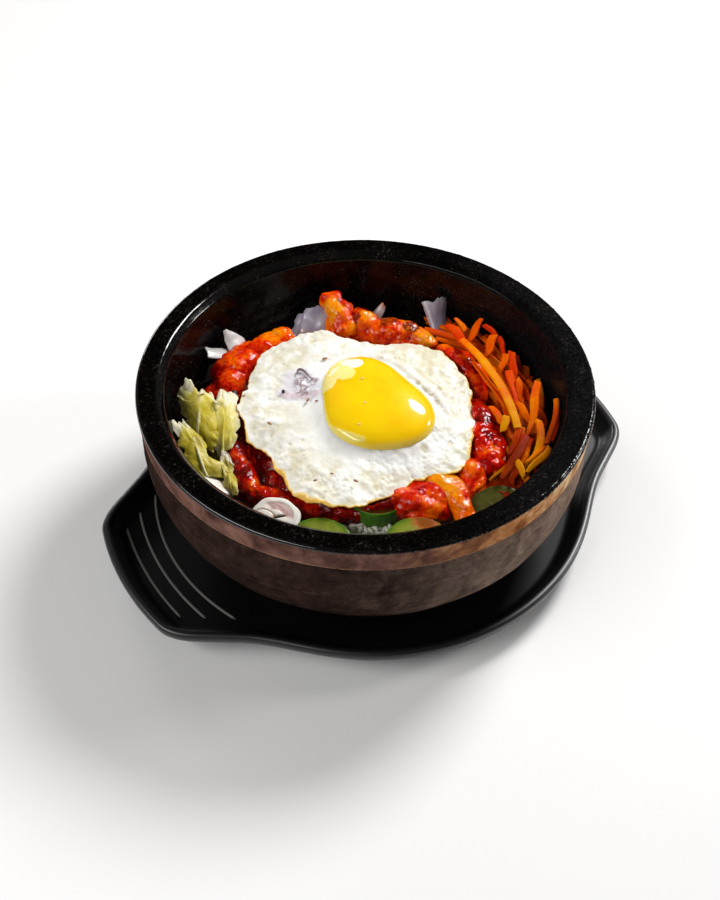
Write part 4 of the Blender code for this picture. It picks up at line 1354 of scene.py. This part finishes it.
carrots = dict(
    bearings=(-40, 59),
    inner=55.0,
    top=((53, 26), (58, 21.5), (66, 18.5), (74, 20), (79, 24)),  # radius and depth of the heap
    # listed sticks: both ends (u, v, depth), bend, width, tone from red to amber
    sticks=(
        ((35, 48, 14), (43, 34, 14.5), 0.6, 4.2, 0.22),
        ((40, 38, 13), (61, -10, 17.5), 4.2, 3.9, 0.86),
        ((45, 28, 17), (61, -9, 19.5), 1.6, 3.6, 0.66),
        ((49, 50, 11.5), (43, 40, 16), 0.4, 3.9, 0.6),
        ((38, 51, 12.5), (42, 46, 15), 0.6, 3.3, 0.5),
        ((50, 47, 12.5), (55, 41, 14), 0.8, 2.2, 0.2),
        ((54, 41, 13), (50, 32, 17), 0.5, 3.8, 0.66),
        ((56, 40, 13.5), (58, 32, 16), 0.6, 2.2, 0.12),
        ((58, 29, 13), (55, 20, 17), 0.6, 3.0, 0.7),
        ((61, 31, 13.5), (60, 16, 18), 1.0, 3.4, 0.3),
        ((62, 15, 13.5), (63, 6, 18), 0.6, 2.8, 0.55),
        ((59, 20, 14.5), (61, 2, 18), 0.8, 3.2, 0.35),
        ((70, 11, 11.5), (64, -14, 18), 1.2, 3.9, 0.6),
        ((61, 3, 16), (66, -7, 16.5), 0.5, 2.8, 0.42),
        ((76, -1, 10), (71, -21, 15), 2.0, 2.3, 0.62),
        ((77, -5, 11), (73, -20, 14.5), 1.0, 1.8, 0.15),
        ((69, -9, 14.5), (66, -26, 18), 2.6, 3.2, 0.82),
        ((56, -6, 15), (55, -12, 17.5), 0.4, 3.2, 0.88),
        ((64, -15, 17), (53, -35, 20), 1.2, 3.8, 0.38),
        ((72, -22, 16), (63, -33, 18.5), 1.0, 3.2, 0.8),
        ((59, -27, 18.5), (62, -34, 20), 0.5, 3.0, 0.82),
        ((70, -22, 15.5), (63, -29, 17), 0.6, 3.0, 0.6),
        ((59, -29, 19.5), (57, -36, 22), 0.4, 3.4, 0.2),
        ((51, 2, 17.5), (54, -7, 18.5), 1.2, 3.0, 0.4),
        ((55, 11, 18), (59, -14, 20), 0.8, 3.4, 0.3),
        ((62, -9, 18.5), (57, -22, 20.5), 0.6, 3.4, 0.3),
        ((66, -16, 17.5), (59, -30, 20), 0.8, 3.4, 0.5),
    ),
    fillers=130,
    fillerLength=(15, 34),
    fillerWidth=(1.8, 3.3),
    fillerSunk=(0.4, 4.5),
    stickThickness=(1.2, 1.9),
    corners=12,
    core=(150, 40, 6.0),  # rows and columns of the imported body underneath, and its thickness
    tones=dict(
        orange=((0.0, 214, 46, 0), (0.35, 228, 78, 0), (0.65, 238, 108, 0), (1.0, 240, 160, 8)),
        # painted shade: the core, sunk sticks, sticks low in the heap and towards its front
        deep=(98, 12, 0),
    ),
)


def heapDepth(radius, bearing):
    low, high = np.radians(carrots["bearings"])
    share = np.clip((bearing - low) / (high - low), 0.03, 0.97)
    reach, depth = zip(*carrots["top"])
    return np.interp(radius, reach, depth) + 5 * (1 - np.sin(math.pi * share) ** 0.4)


def carrotFinish():
    f = Finish("carrot stick", glow=(0.2, 0.002, (1.0, 0.35, 0.08)), Specular_IOR_Level=0.03)
    fine = f.noise(1.1, 3, 0.6)
    cloud = f.noise(5, 3, 0.6)
    tone = (f.mark("tone") + (cloud - 0.5) * 0.5 + (fine - 0.5) * 0.25).clip()
    base = f.mix(f.ramp(tone, carrots["tones"]["orange"]), carrots["tones"]["deep"],
                 f.mark("deep"))
    return f.paint(Base_Color=base, Roughness=0.36 + fine * 0.18,
                   Normal=f.bump(fine * 0.7 + cloud * 0.3, 0.3, 0.5))


def carrotCore():
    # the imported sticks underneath, as one grooved body
    low, high = carrots["bearings"]
    rows, columns, thickness = carrots["core"]
    bearing = np.radians(np.linspace(low + 4, high - 3, rows))[:, None] * np.ones(columns)
    share = np.linspace(0, 1, columns) * np.ones((rows, 1))
    radius = carrots["inner"] + 1.5 + share * (insideRadius(27) - 4.5 - carrots["inner"])
    along = bearing * 66
    groove = np.stack([along / 10, radius + 0.25 * along, along * 0], -1).reshape(-1, 3)
    height = 1.6 * np.abs(lumps(groove, 2.6, 77)).reshape(radius.shape)
    depth = heapDepth(radius, bearing) + thickness - height
    middle = np.stack([radius * np.cos(bearing), radius * np.sin(bearing), depth], -1)
    points, faces = sheetMesh(middle, np.full(radius.shape, thickness))
    # the core between the sticks is painted half in shade
    return points, faces, dict(tone=0.2, deep=0.5)


def stick(start, end, bend, width, rng):
    # a cut stick with rounded corners, bowed outwards and up, a little twisted and tapered
    start, end = upsideDown(np.array((start, end), float))
    along = end - start
    length = np.linalg.norm(along)
    stations = max(8, int(length / 2.2))
    t = np.linspace(0, 1, stations)
    outward = unit((start + end) * (1, 1, 0))
    bowed = outward * bend * 0.6 + np.array((0, 0, bend * 0.6))
    line = start + along * t[:, None] + bowed * (4 * t * (1 - t))[:, None]
    sway, _ = rng.uniform(-0.35, 0.35, 2)
    side = unit(np.cross(along, (0, 0, 1)))
    line += side * (sway * np.sin(2 * math.pi * t))[:, None] * width * 0.5
    forward = unit(np.gradient(line, axis=0))
    side = unit(np.cross(forward, (0, 0, 1)))
    up = np.cross(side, forward)
    twist = rng.uniform(-0.8, 0.8) + rng.uniform(-0.7, 0.7) * t
    thick = rng.uniform(*carrots["stickThickness"])
    taper = 1 - rng.uniform(0.1, 0.6) * t ** 3 - rng.uniform(0, 0.35) * (1 - t) ** 4
    corners = carrots["corners"]
    section = []
    for k in range(corners):
        corner = 2 * math.pi * k / corners
        x, y = math.cos(corner), math.sin(corner)
        swell = (abs(x) ** 8 + abs(y) ** 8) ** -0.125  # from round to nearly square
        section.append((x * swell * 0.5 * width, y * swell * 0.5 * thick))
    slant = rng.uniform(-0.5, 0.5, 2) * width
    rings = []
    for i in range(stations):
        c, s = math.cos(twist[i]), math.sin(twist[i])
        cut = slant[0] if i == 0 else slant[1] if i == stations - 1 else 0.0
        ring = [line[i] + (side[i] * (x * c - y * s) + up[i] * (x * s + y * c)) * taper[i]
                + forward[i] * cut * x / width for x, y in section]
        rings.append(ring)
    points = stirred(upsideDown(np.array(rings).reshape(-1, 3)), 0.12, 3, 80)
    return points, ringFaces(stations, corners)


def carrotSticks():
    rng = np.random.default_rng(11)
    parts = [carrotCore()]
    for start, end, bend, width, tone in carrots["sticks"]:
        points, faces = stick(start, end, bend, width, rng)
        parts.append((points, faces, dict(tone=tone, deep=0.0)))
    low, high = carrots["bearings"]
    for _ in range(carrots["fillers"]):
        bearing = math.radians(rng.uniform(low + 13, high - 2))
        radius = rng.uniform(carrots["inner"] - 1, 74)
        sunk = rng.uniform(*carrots["fillerSunk"])
        depth = float(heapDepth(radius, bearing)) + sunk
        length = rng.uniform(*carrots["fillerLength"])
        heading = bearing - math.pi / 2 + rng.uniform(-0.45, 0.6)
        middle = np.array((radius * math.cos(bearing), radius * math.sin(bearing)))
        half = np.array((math.cos(heading), math.sin(heading))) * length / 2
        ends = [middle - half, middle + half]
        most = insideRadius(depth) - 2.6
        ends = [p * min(1.0, most / np.linalg.norm(p)) for p in ends]
        slope = rng.uniform(-1.0, 3.0)
        points, faces = stick((*ends[0], depth - slope), (*ends[1], depth + slope),
                              rng.uniform(-1, 2.0), rng.uniform(*carrots["fillerWidth"]), rng)
        # the deeper a filler is sunk, the more painted shade it gets
        parts.append((points, faces, dict(tone=rng.uniform(0.25, 0.85), deep=0.14 * sunk)))
    points, faces, marks = joined(parts)
    u, v, _ = points.T
    surface = heapDepth(np.hypot(u, v), np.arctan2(v, u))
    # painted shade for the sticks below the heap's top and towards the front, less on amber sticks
    lower = smooth(0, 7, points[:, 2] - surface)
    front = smooth(-5, 25, -points[:, 1])
    marks["tone"] = np.clip(marks["tone"] + 0.35 * lumps(points, 8, 91), 0, 1)
    marks["deep"] = np.clip(marks["deep"] + 0.8 * lower + 0.14 + 0.75 * front
                            * (1 - 0.65 * smooth(0.5, 0.85, marks["tone"])), 0, 0.92)
    return newPiece("carrotSticks", inFood(points), faces, carrotFinish(),
                    ["carrot_heap"], marks, sharp=True)


# dark marinade and scraps of meat that fill the gaps round the egg, painted dark partly as the
# shade in those gaps

marinade = dict(
    inner=30.0,
    outer=54.0,
    depth=26.0,
    fall=0.3,  # how fast it drops outwards
    gap=(66, 168),  # bearings where there is none
    heap=((-3, -47, 5), (3, -47, 5), (9, -46.5, 5)),
    heapHeight=5.0,
    under=7,
    sides=280,
    rings=44,
)


def marinadeReach(bearing):
    # it draws in a little at the front
    return marinade["outer"] - 5 * np.exp(-((bearing - 272) / 38) ** 2)


def marinadePiece(finish):
    sides = marinade["sides"]
    low, high = marinade["gap"]
    bearing = np.linspace(high, 360 + low, sides)
    outer = marinadeReach(bearing)
    rows = []
    for share in np.linspace(0, 1, marinade["rings"]):
        radius = marinade["inner"] * (1 - share) + outer * share
        depth = marinade["depth"] + marinade["fall"] * np.maximum(radius - 44, 0)
        flat = ringAt(np.radians(bearing), radius, depth)
        u, v, _ = flat.T
        flat[:, 2] += 0.02 * v
        flat[:, 2] -= 1.8 * np.abs(lumps(flat, 6, 171)) * 2 + 0.7 * lumps(flat, 2.6, 172) - 1.5
        flat[:, 2] = np.minimum(flat[:, 2], riceDepth(u, v) + 3)
        flat[:, 2] -= marinade["heapHeight"] * near(flat, marinade["heap"]) * (1 - underEgg(flat))
        rows.append(flat)
    bottom = [row + (0, 0, marinade["under"]) for row in rows[::-1]]
    points = np.concatenate(rows + bottom)
    count = len(points)
    last = count - sides
    faces = gridFaces(len(rows) * 2, sides, closed=False).tolist()
    faces += [[i, last + i, last + i + 1, i + 1] for i in range(sides - 1)]
    faces += [list(range(0, count, sides)), list(range(sides - 1, count, sides))[::-1]]
    # painted dark, partly as the shade in the gaps round the egg
    warm = 0.1 + 0.3 * lumps(points, 7, 173)
    dark = 0.6 + 0.3 * lumps(points, 5, 174)
    return newPiece("marinadeUnder", inFood(points), faces, finish, [],
                    dict(warm=warm, dark=dark))


# rice under everything

rice = dict(
    profile=((0, 18.5), (26, 20), (38, 26), (48, 33), (60, 38), (70, 42)),
    tip=0.045,
    sink=1.6,
    grains=1900,
    grainLength=5.6,
    grainWidth=2.4,
    floor=50,
    reach=70.3,
    sides=320,
    rings=96,
    # sauce stains on the rice, placed where gaps between the toppings lie in shade, so partly
    # painted shade
    sauced=((-44, -20, 15), (-30, -34, 13), (-10, -40, 9), (12, -40, 9), (40, -30, 14),
            (48, -2, 14), (42, 26, 12), (-46, 30, 11), (-50, 8, 11)),
    tones=dict(
        grain=((214, 204, 186), (240, 233, 218)),
        sauce=((70, 8, 2), (140, 28, 6)),
        deep=(40, 22, 14),
    ),
)


def riceDepth(u, v):
    radius = np.hypot(u, v)
    reach, depth = zip(*rice["profile"])
    return np.interp(radius, reach, depth) + rice["tip"] * v * radius / 70


def riceFinish():
    f = Finish("cooked rice", glow=(0.3, 0.004, (1.0, 0.9, 0.75)), Coat_Weight=0.15,
               Coat_Roughness=0.2)
    tones = rice["tones"]
    fine = f.noise(1.2, 2, 0.5)
    # sauce stains, partly painted shade in the gaps; the mound is mixed a little towards dark
    # brown
    base = f.over(f.mix(*tones["grain"], fine),
                  (f.mix(*tones["sauce"], f.noise(4, 2)), f.mark("sauce")),
                  (tones["deep"], f.mark("deep")))
    return f.paint(Base_Color=base, Roughness=0.32 + fine * 0.2, Normal=f.bump(fine, 0.2, 0.4))


def riceMound():
    sides, rings = rice["sides"], rice["rings"]
    angle = fullTurn(sides)
    points = np.concatenate([ringAt(angle, radius, 0)
                             for radius in np.linspace(2, rice["reach"], rings)])
    points[:, 2] = riceDepth(points[:, 0], points[:, 1]) + rice["sink"]
    points[:, 2] -= 1.1 * (1 - smooth(0.1, 0.6, bubbles(points * (1, 1, 0), 3.4, 71)))
    points[:, 2] -= 0.8 * lumps(points, 9, 72)
    below = points[-sides:].copy()
    below[:, 2] = rice["floor"]
    points = np.concatenate([points, below, below * (0.1, 0.1, 1)])
    sauce = near(points, rice["sauced"])
    return points, ringFaces(rings + 2, sides), dict(sauce=np.clip(sauce * 1.2, 0, 1), deep=0.15)


def grainShape(length, width):
    rings, sides = 5, 6
    points = []
    for i in range(rings):
        t = -0.9 + 1.8 * i / (rings - 1)
        girth = (1 - abs(t) ** 2.4) ** 0.5
        for k in range(sides):
            a = 2 * math.pi * k / sides
            points.append((t * length / 2, math.cos(a) * girth * width / 2,
                           math.sin(a) * girth * width * 0.42))
    return np.array(points), ringFaces(rings, sides)


def coverAbove(skip):
    # tells whether one of the solids lies over a spot, apart from those skipped
    trees = []
    for name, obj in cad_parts.items():
        if name not in skip:
            mesh = obj.data
            trees.append(BVHTree.FromPolygons([v.co for v in mesh.vertices],
                                              [p.vertices for p in mesh.polygons]))

    def covered(place):
        spot = Vector(place) - Vector((0, 0, 0.003))
        return any(tree.ray_cast(spot, Vector((0, 0, 1)))[0] for tree in trees)

    return covered


def riceGrains():
    rng = np.random.default_rng(5)
    shape, shapeFaces = grainShape(rice["grainLength"], rice["grainWidth"])
    covered = coverAbove(("rice_bed", "stone_bowl", "tray"))
    low, high = marinade["gap"]
    parts = []
    for _ in range(rice["grains"] * 3):
        radius, bearing = 69 * math.sqrt(rng.uniform(0.15, 1)), rng.uniform(0, 2 * math.pi)
        u, v = radius * math.cos(bearing), radius * math.sin(bearing)
        depth = float(riceDepth(u, v))
        if radius > insideRadius(depth) - 3 or covered(inFood([(u, v, depth)])[0]):
            continue
        degrees = math.degrees(bearing)
        if radius < marinadeReach(degrees) + 1 and not low < degrees < high:
            continue
        yaw = rng.uniform(0, 6.28)
        pitch = rng.uniform(-0.5, 0.5)
        roll = rng.uniform(0, 6.28)
        turn = (Matrix.Rotation(yaw, 3, "Z") @ Matrix.Rotation(pitch, 3, "Y")
                @ Matrix.Rotation(roll, 3, "X"))
        points = shape * rng.uniform(0.85, 1.1) @ np.array(turn).T
        points = upsideDown(points) + (u, v, depth + rng.uniform(-0.2, 1.2))
        sauce = float(near(np.array([[u, v, depth]]), rice["sauced"])[0])
        parts.append((points, shapeFaces, dict(sauce=sauce * rng.uniform(0.6, 1), deep=0.0)))
        if len(parts) >= rice["grains"]:
            break
    print("grains of rice", len(parts))
    return parts


def riceBed():
    points, faces, marks = joined([riceMound()] + riceGrains())
    return newPiece("riceBed", inFood(points), faces, riceFinish(), ["rice_bed"], marks)


# small bits lying on the egg and between the toppings

bits = dict(
    flakes=(  # u, v, depth, length, turn
        (-17.2, 24.0, 13.1, 2.6, 25),
        (-15.6, 6.2, 13.2, 2.0, 100),
        (-23.0, -0.8, 13.4, 2.4, 65),
        (-19.3, -1.2, 13.4, 1.8, 5),
        (-37.5, -13.4, 14.6, 2.2, -40),
        (-12.0, -38.2, 16.2, 1.6, 0),
        (-2.8, -41.5, 16.4, 2.2, -30),
        (-18.3, -41.5, 16.6, 1.8, 20),
        (18.3, -17.8, 13.6, 2.6, 10),
        (11.8, -23.7, 14.2, 2.4, 15),
        (-49.0, 2.9, 15.4, 1.6, 50),
    ),
    curl=((-28.2, 14.2, 13.3), (-27.6, 16.6, 13.0), (-25.6, 16.0, 12.9), (-21.9, 11.1, 13.2)),
    pepper=((-54.0, 10.0, 21.0, 1.4), (-33.2, 4.5, 14.0, 0.8)),  # u, v, depth, radius
    onYolk=((-1.3, 4.1, 1.3, 20), (-0.1, -8.8, 1.2, 70), (-2.2, -18.4, 1.4, 10)),
    tones=dict(
        flake=((104, 62, 34), (176, 122, 74)),
        mauve=((74, 54, 62), (134, 110, 118)),
        black=(16, 13, 13),
        pink=(244, 196, 120),
    ),
)


def through(points, steps):
    # a smooth line through these points
    points = [Vector(p) for p in points]
    ends = [points[0] * 2 - points[1]] + points + [points[-1] * 2 - points[-2]]
    line = []
    for a, b, c, d in zip(ends, ends[1:], ends[2:], ends[3:]):
        for k in range(steps):
            t = k / steps
            line.append(0.5 * (b * 2 + (c - a) * t + (a * 2 - b * 5 + c * 4 - d) * t * t
                               + (b * 3 - a - c * 3 + d) * t ** 3))
    return [tuple(p) for p in line + [points[-1]]]


def bitsFinish():
    f = Finish("pepper and bits", Coat_Weight=0.3, Coat_Roughness=0.2)
    tones = bits["tones"]
    fine = f.noise(0.6, 2, 0.5)
    base = f.over(f.mix(*tones["flake"], fine),
                  (f.mix(*tones["mauve"], fine), f.mark("mauve")),
                  (tones["black"], f.mark("black")),
                  (tones["pink"], f.mark("pink")))
    return f.paint(Base_Color=base, Roughness=0.45 + fine * 0.2, Normal=f.bump(fine, 0.12, 0.5))


def blob(centre, size, turn, seed):
    # a rough grain, by its half sizes along, across and up
    sides, rings = 16, 9
    points = np.concatenate([ringAt(fullTurn(sides), math.sin(math.pi * i / rings),
                                    math.cos(math.pi * i / rings)) for i in range(1, rings)])
    points *= size
    points *= 1 + 0.16 * lumps(points * 3, 2.0, seed)[:, None]
    x, y, z = points.T
    x, y = turned(x, y, math.radians(turn))
    points = np.stack([x + centre[0], y + centre[1], centre[2] - z], 1)
    return points, ringFaces(rings - 1, sides)


def smallBits():
    flake = dict(black=0.0, mauve=0.0, pink=0.0)
    parts = []
    for k, (u, v, depth, length, turn) in enumerate(bits["flakes"]):
        grain = blob((u, v, depth), (length / 2, length * 0.26, 0.3), turn, 90 + k)
        parts.append((*grain, flake))
    for k, (u, v, length, turn) in enumerate(bits["onYolk"]):
        grain = blob((u, v, yolkTop(u, v)), (length / 2, length * 0.35, 0.3), turn, 70 + k)
        parts.append((*grain, dict(flake, pink=1.0)))
    path = through(bits["curl"], 8)
    radii = [0.6 * math.sin(math.pi * (0.12 + 0.8 * share))
             for share in np.linspace(0, 1, len(path))]
    parts.append((*tube(path, radii), dict(flake, mauve=1.0)))
    for u, v, depth, radius in bits["pepper"]:
        grain = blob((u, v, depth), (radius, radius, radius * 0.9), 0, 99)
        parts.append((*grain, dict(flake, black=1.0)))
    points, faces, marks = joined(parts)
    return newPiece("pepperAndFlakes", inFood(points), faces, bitsFinish(), [], marks)


# light, floor and camera

studio = dict(
    floorTones=((236.4, 235.4, 234.4), (238, 237, 236)),
    floorHalf=3.0,
    world=(0.09, 0.09, 0.09),
    lens=48.76,
    eye=(0, -0.354854, 0.323232),  # from the middle of the rim, to the right, away and up
    eyeRight=(0.999724, 0.01898, 0.013813),
    eyeUp=(-0.02324, 0.717272, 0.696406),
    lights=(  # bearing from straight away, elevation, distance, width, height, power
        ("keyBackRight", 42, 43, 1.0, 0.34, 0.34, 10.5),
        ("sideRight", 76, 19, 1.1, 0.26, 0.2, 3.6),
        ("stripFrontLeft", -124, 37, 1.0, 1.1, 0.22, 6.8),
        ("lowBackLeft", -30, 14, 1.3, 0.45, 0.2, 3.0),
    ),
)


def inStudio(name, data):
    thing = bpy.data.objects.new(name, data)
    bpy.context.scene.collection.objects.link(thing)
    return thing


def lampPlace(azimuth, elevation, distance):
    a, e = math.radians(azimuth), math.radians(elevation)
    return Vector((math.sin(a) * math.cos(e), math.cos(a) * math.cos(e), math.sin(e))) * distance


def stageScene():
    scene = bpy.context.scene
    scene.view_settings.view_transform = "Standard"
    scene.world = bpy.data.worlds.new("studio")
    scene.world.use_nodes = True
    background = scene.world.node_tree.nodes["Background"]
    background.inputs["Color"].default_value = (*studio["world"], 1)
    middle = Vector((axisX, axisY, rimZ))
    turn = Matrix.Rotation(foodTurn, 3, "Z")

    for name, azimuth, elevation, distance, width, height, power in studio["lights"]:
        light = bpy.data.lights.new(name, "AREA")
        light.shape = "ELLIPSE"
        light.size = width
        light.size_y = height
        light.energy = power
        lamp = inStudio(name, light)
        lamp.location = middle + turn @ lampPlace(azimuth, elevation, distance)
        lamp.rotation_euler = (middle - lamp.location).to_track_quat("-Z", "Y").to_euler()

    mesh = bpy.data.meshes.new("floor")
    half = studio["floorHalf"]
    mesh.from_pydata([(-half, -half, 0), (half, -half, 0), (half, half, 0), (-half, half, 0)],
                     [], [(0, 1, 2, 3)])
    paper = Finish("pale floor")
    paper.paint(Base_Color=paper.mix(*studio["floorTones"], paper.noise(40, 2)), Roughness=0.8)
    mesh.materials.append(paper.material)
    floor = inStudio("floor", mesh)
    floor.location.z = -0.0002  # a hair below the tray's foot

    camera = bpy.data.cameras.new("camera")
    camera.lens = studio["lens"]
    camera.sensor_width = 36
    camera.clip_start = 0.01
    eye = inStudio("camera", camera)
    right = turn @ Vector(studio["eyeRight"])
    up = turn @ Vector(studio["eyeUp"])
    facing = Matrix((right, up, right.cross(up))).transposed()
    place = middle + turn @ Vector(studio["eye"])
    eye.matrix_world = Matrix.Translation(place) @ facing.to_4x4()
    scene.camera = eye


def makeEach(looks, makePiece, finish, seed, step=1):
    for number, name in enumerate(looks):
        makePiece(name, finish, seed + number * step)


print("stage")
stageScene()
print("bowl and tray")
stoneBowl()
trayPiece()
print("rice")
riceBed()
print("egg")
friedEgg()
yolkPiece()
print("meat")
glazed = meatFinish()
makeEach(meats, meatPiece, glazed, 0)
marinadePiece(glazed)
print("vegetables")
carrotSticks()
makeEach(cabbages, cabbage, cabbageFinish(), 3, 4)
makeEach(onions, onion, onionFinish(), 20)
makeEach(cucumbers, cucumber, cucumberFinish(), 30)
makeEach(mushrooms, mushroom, mushroomFinish(), 40)
print("small bits")
smallBits()
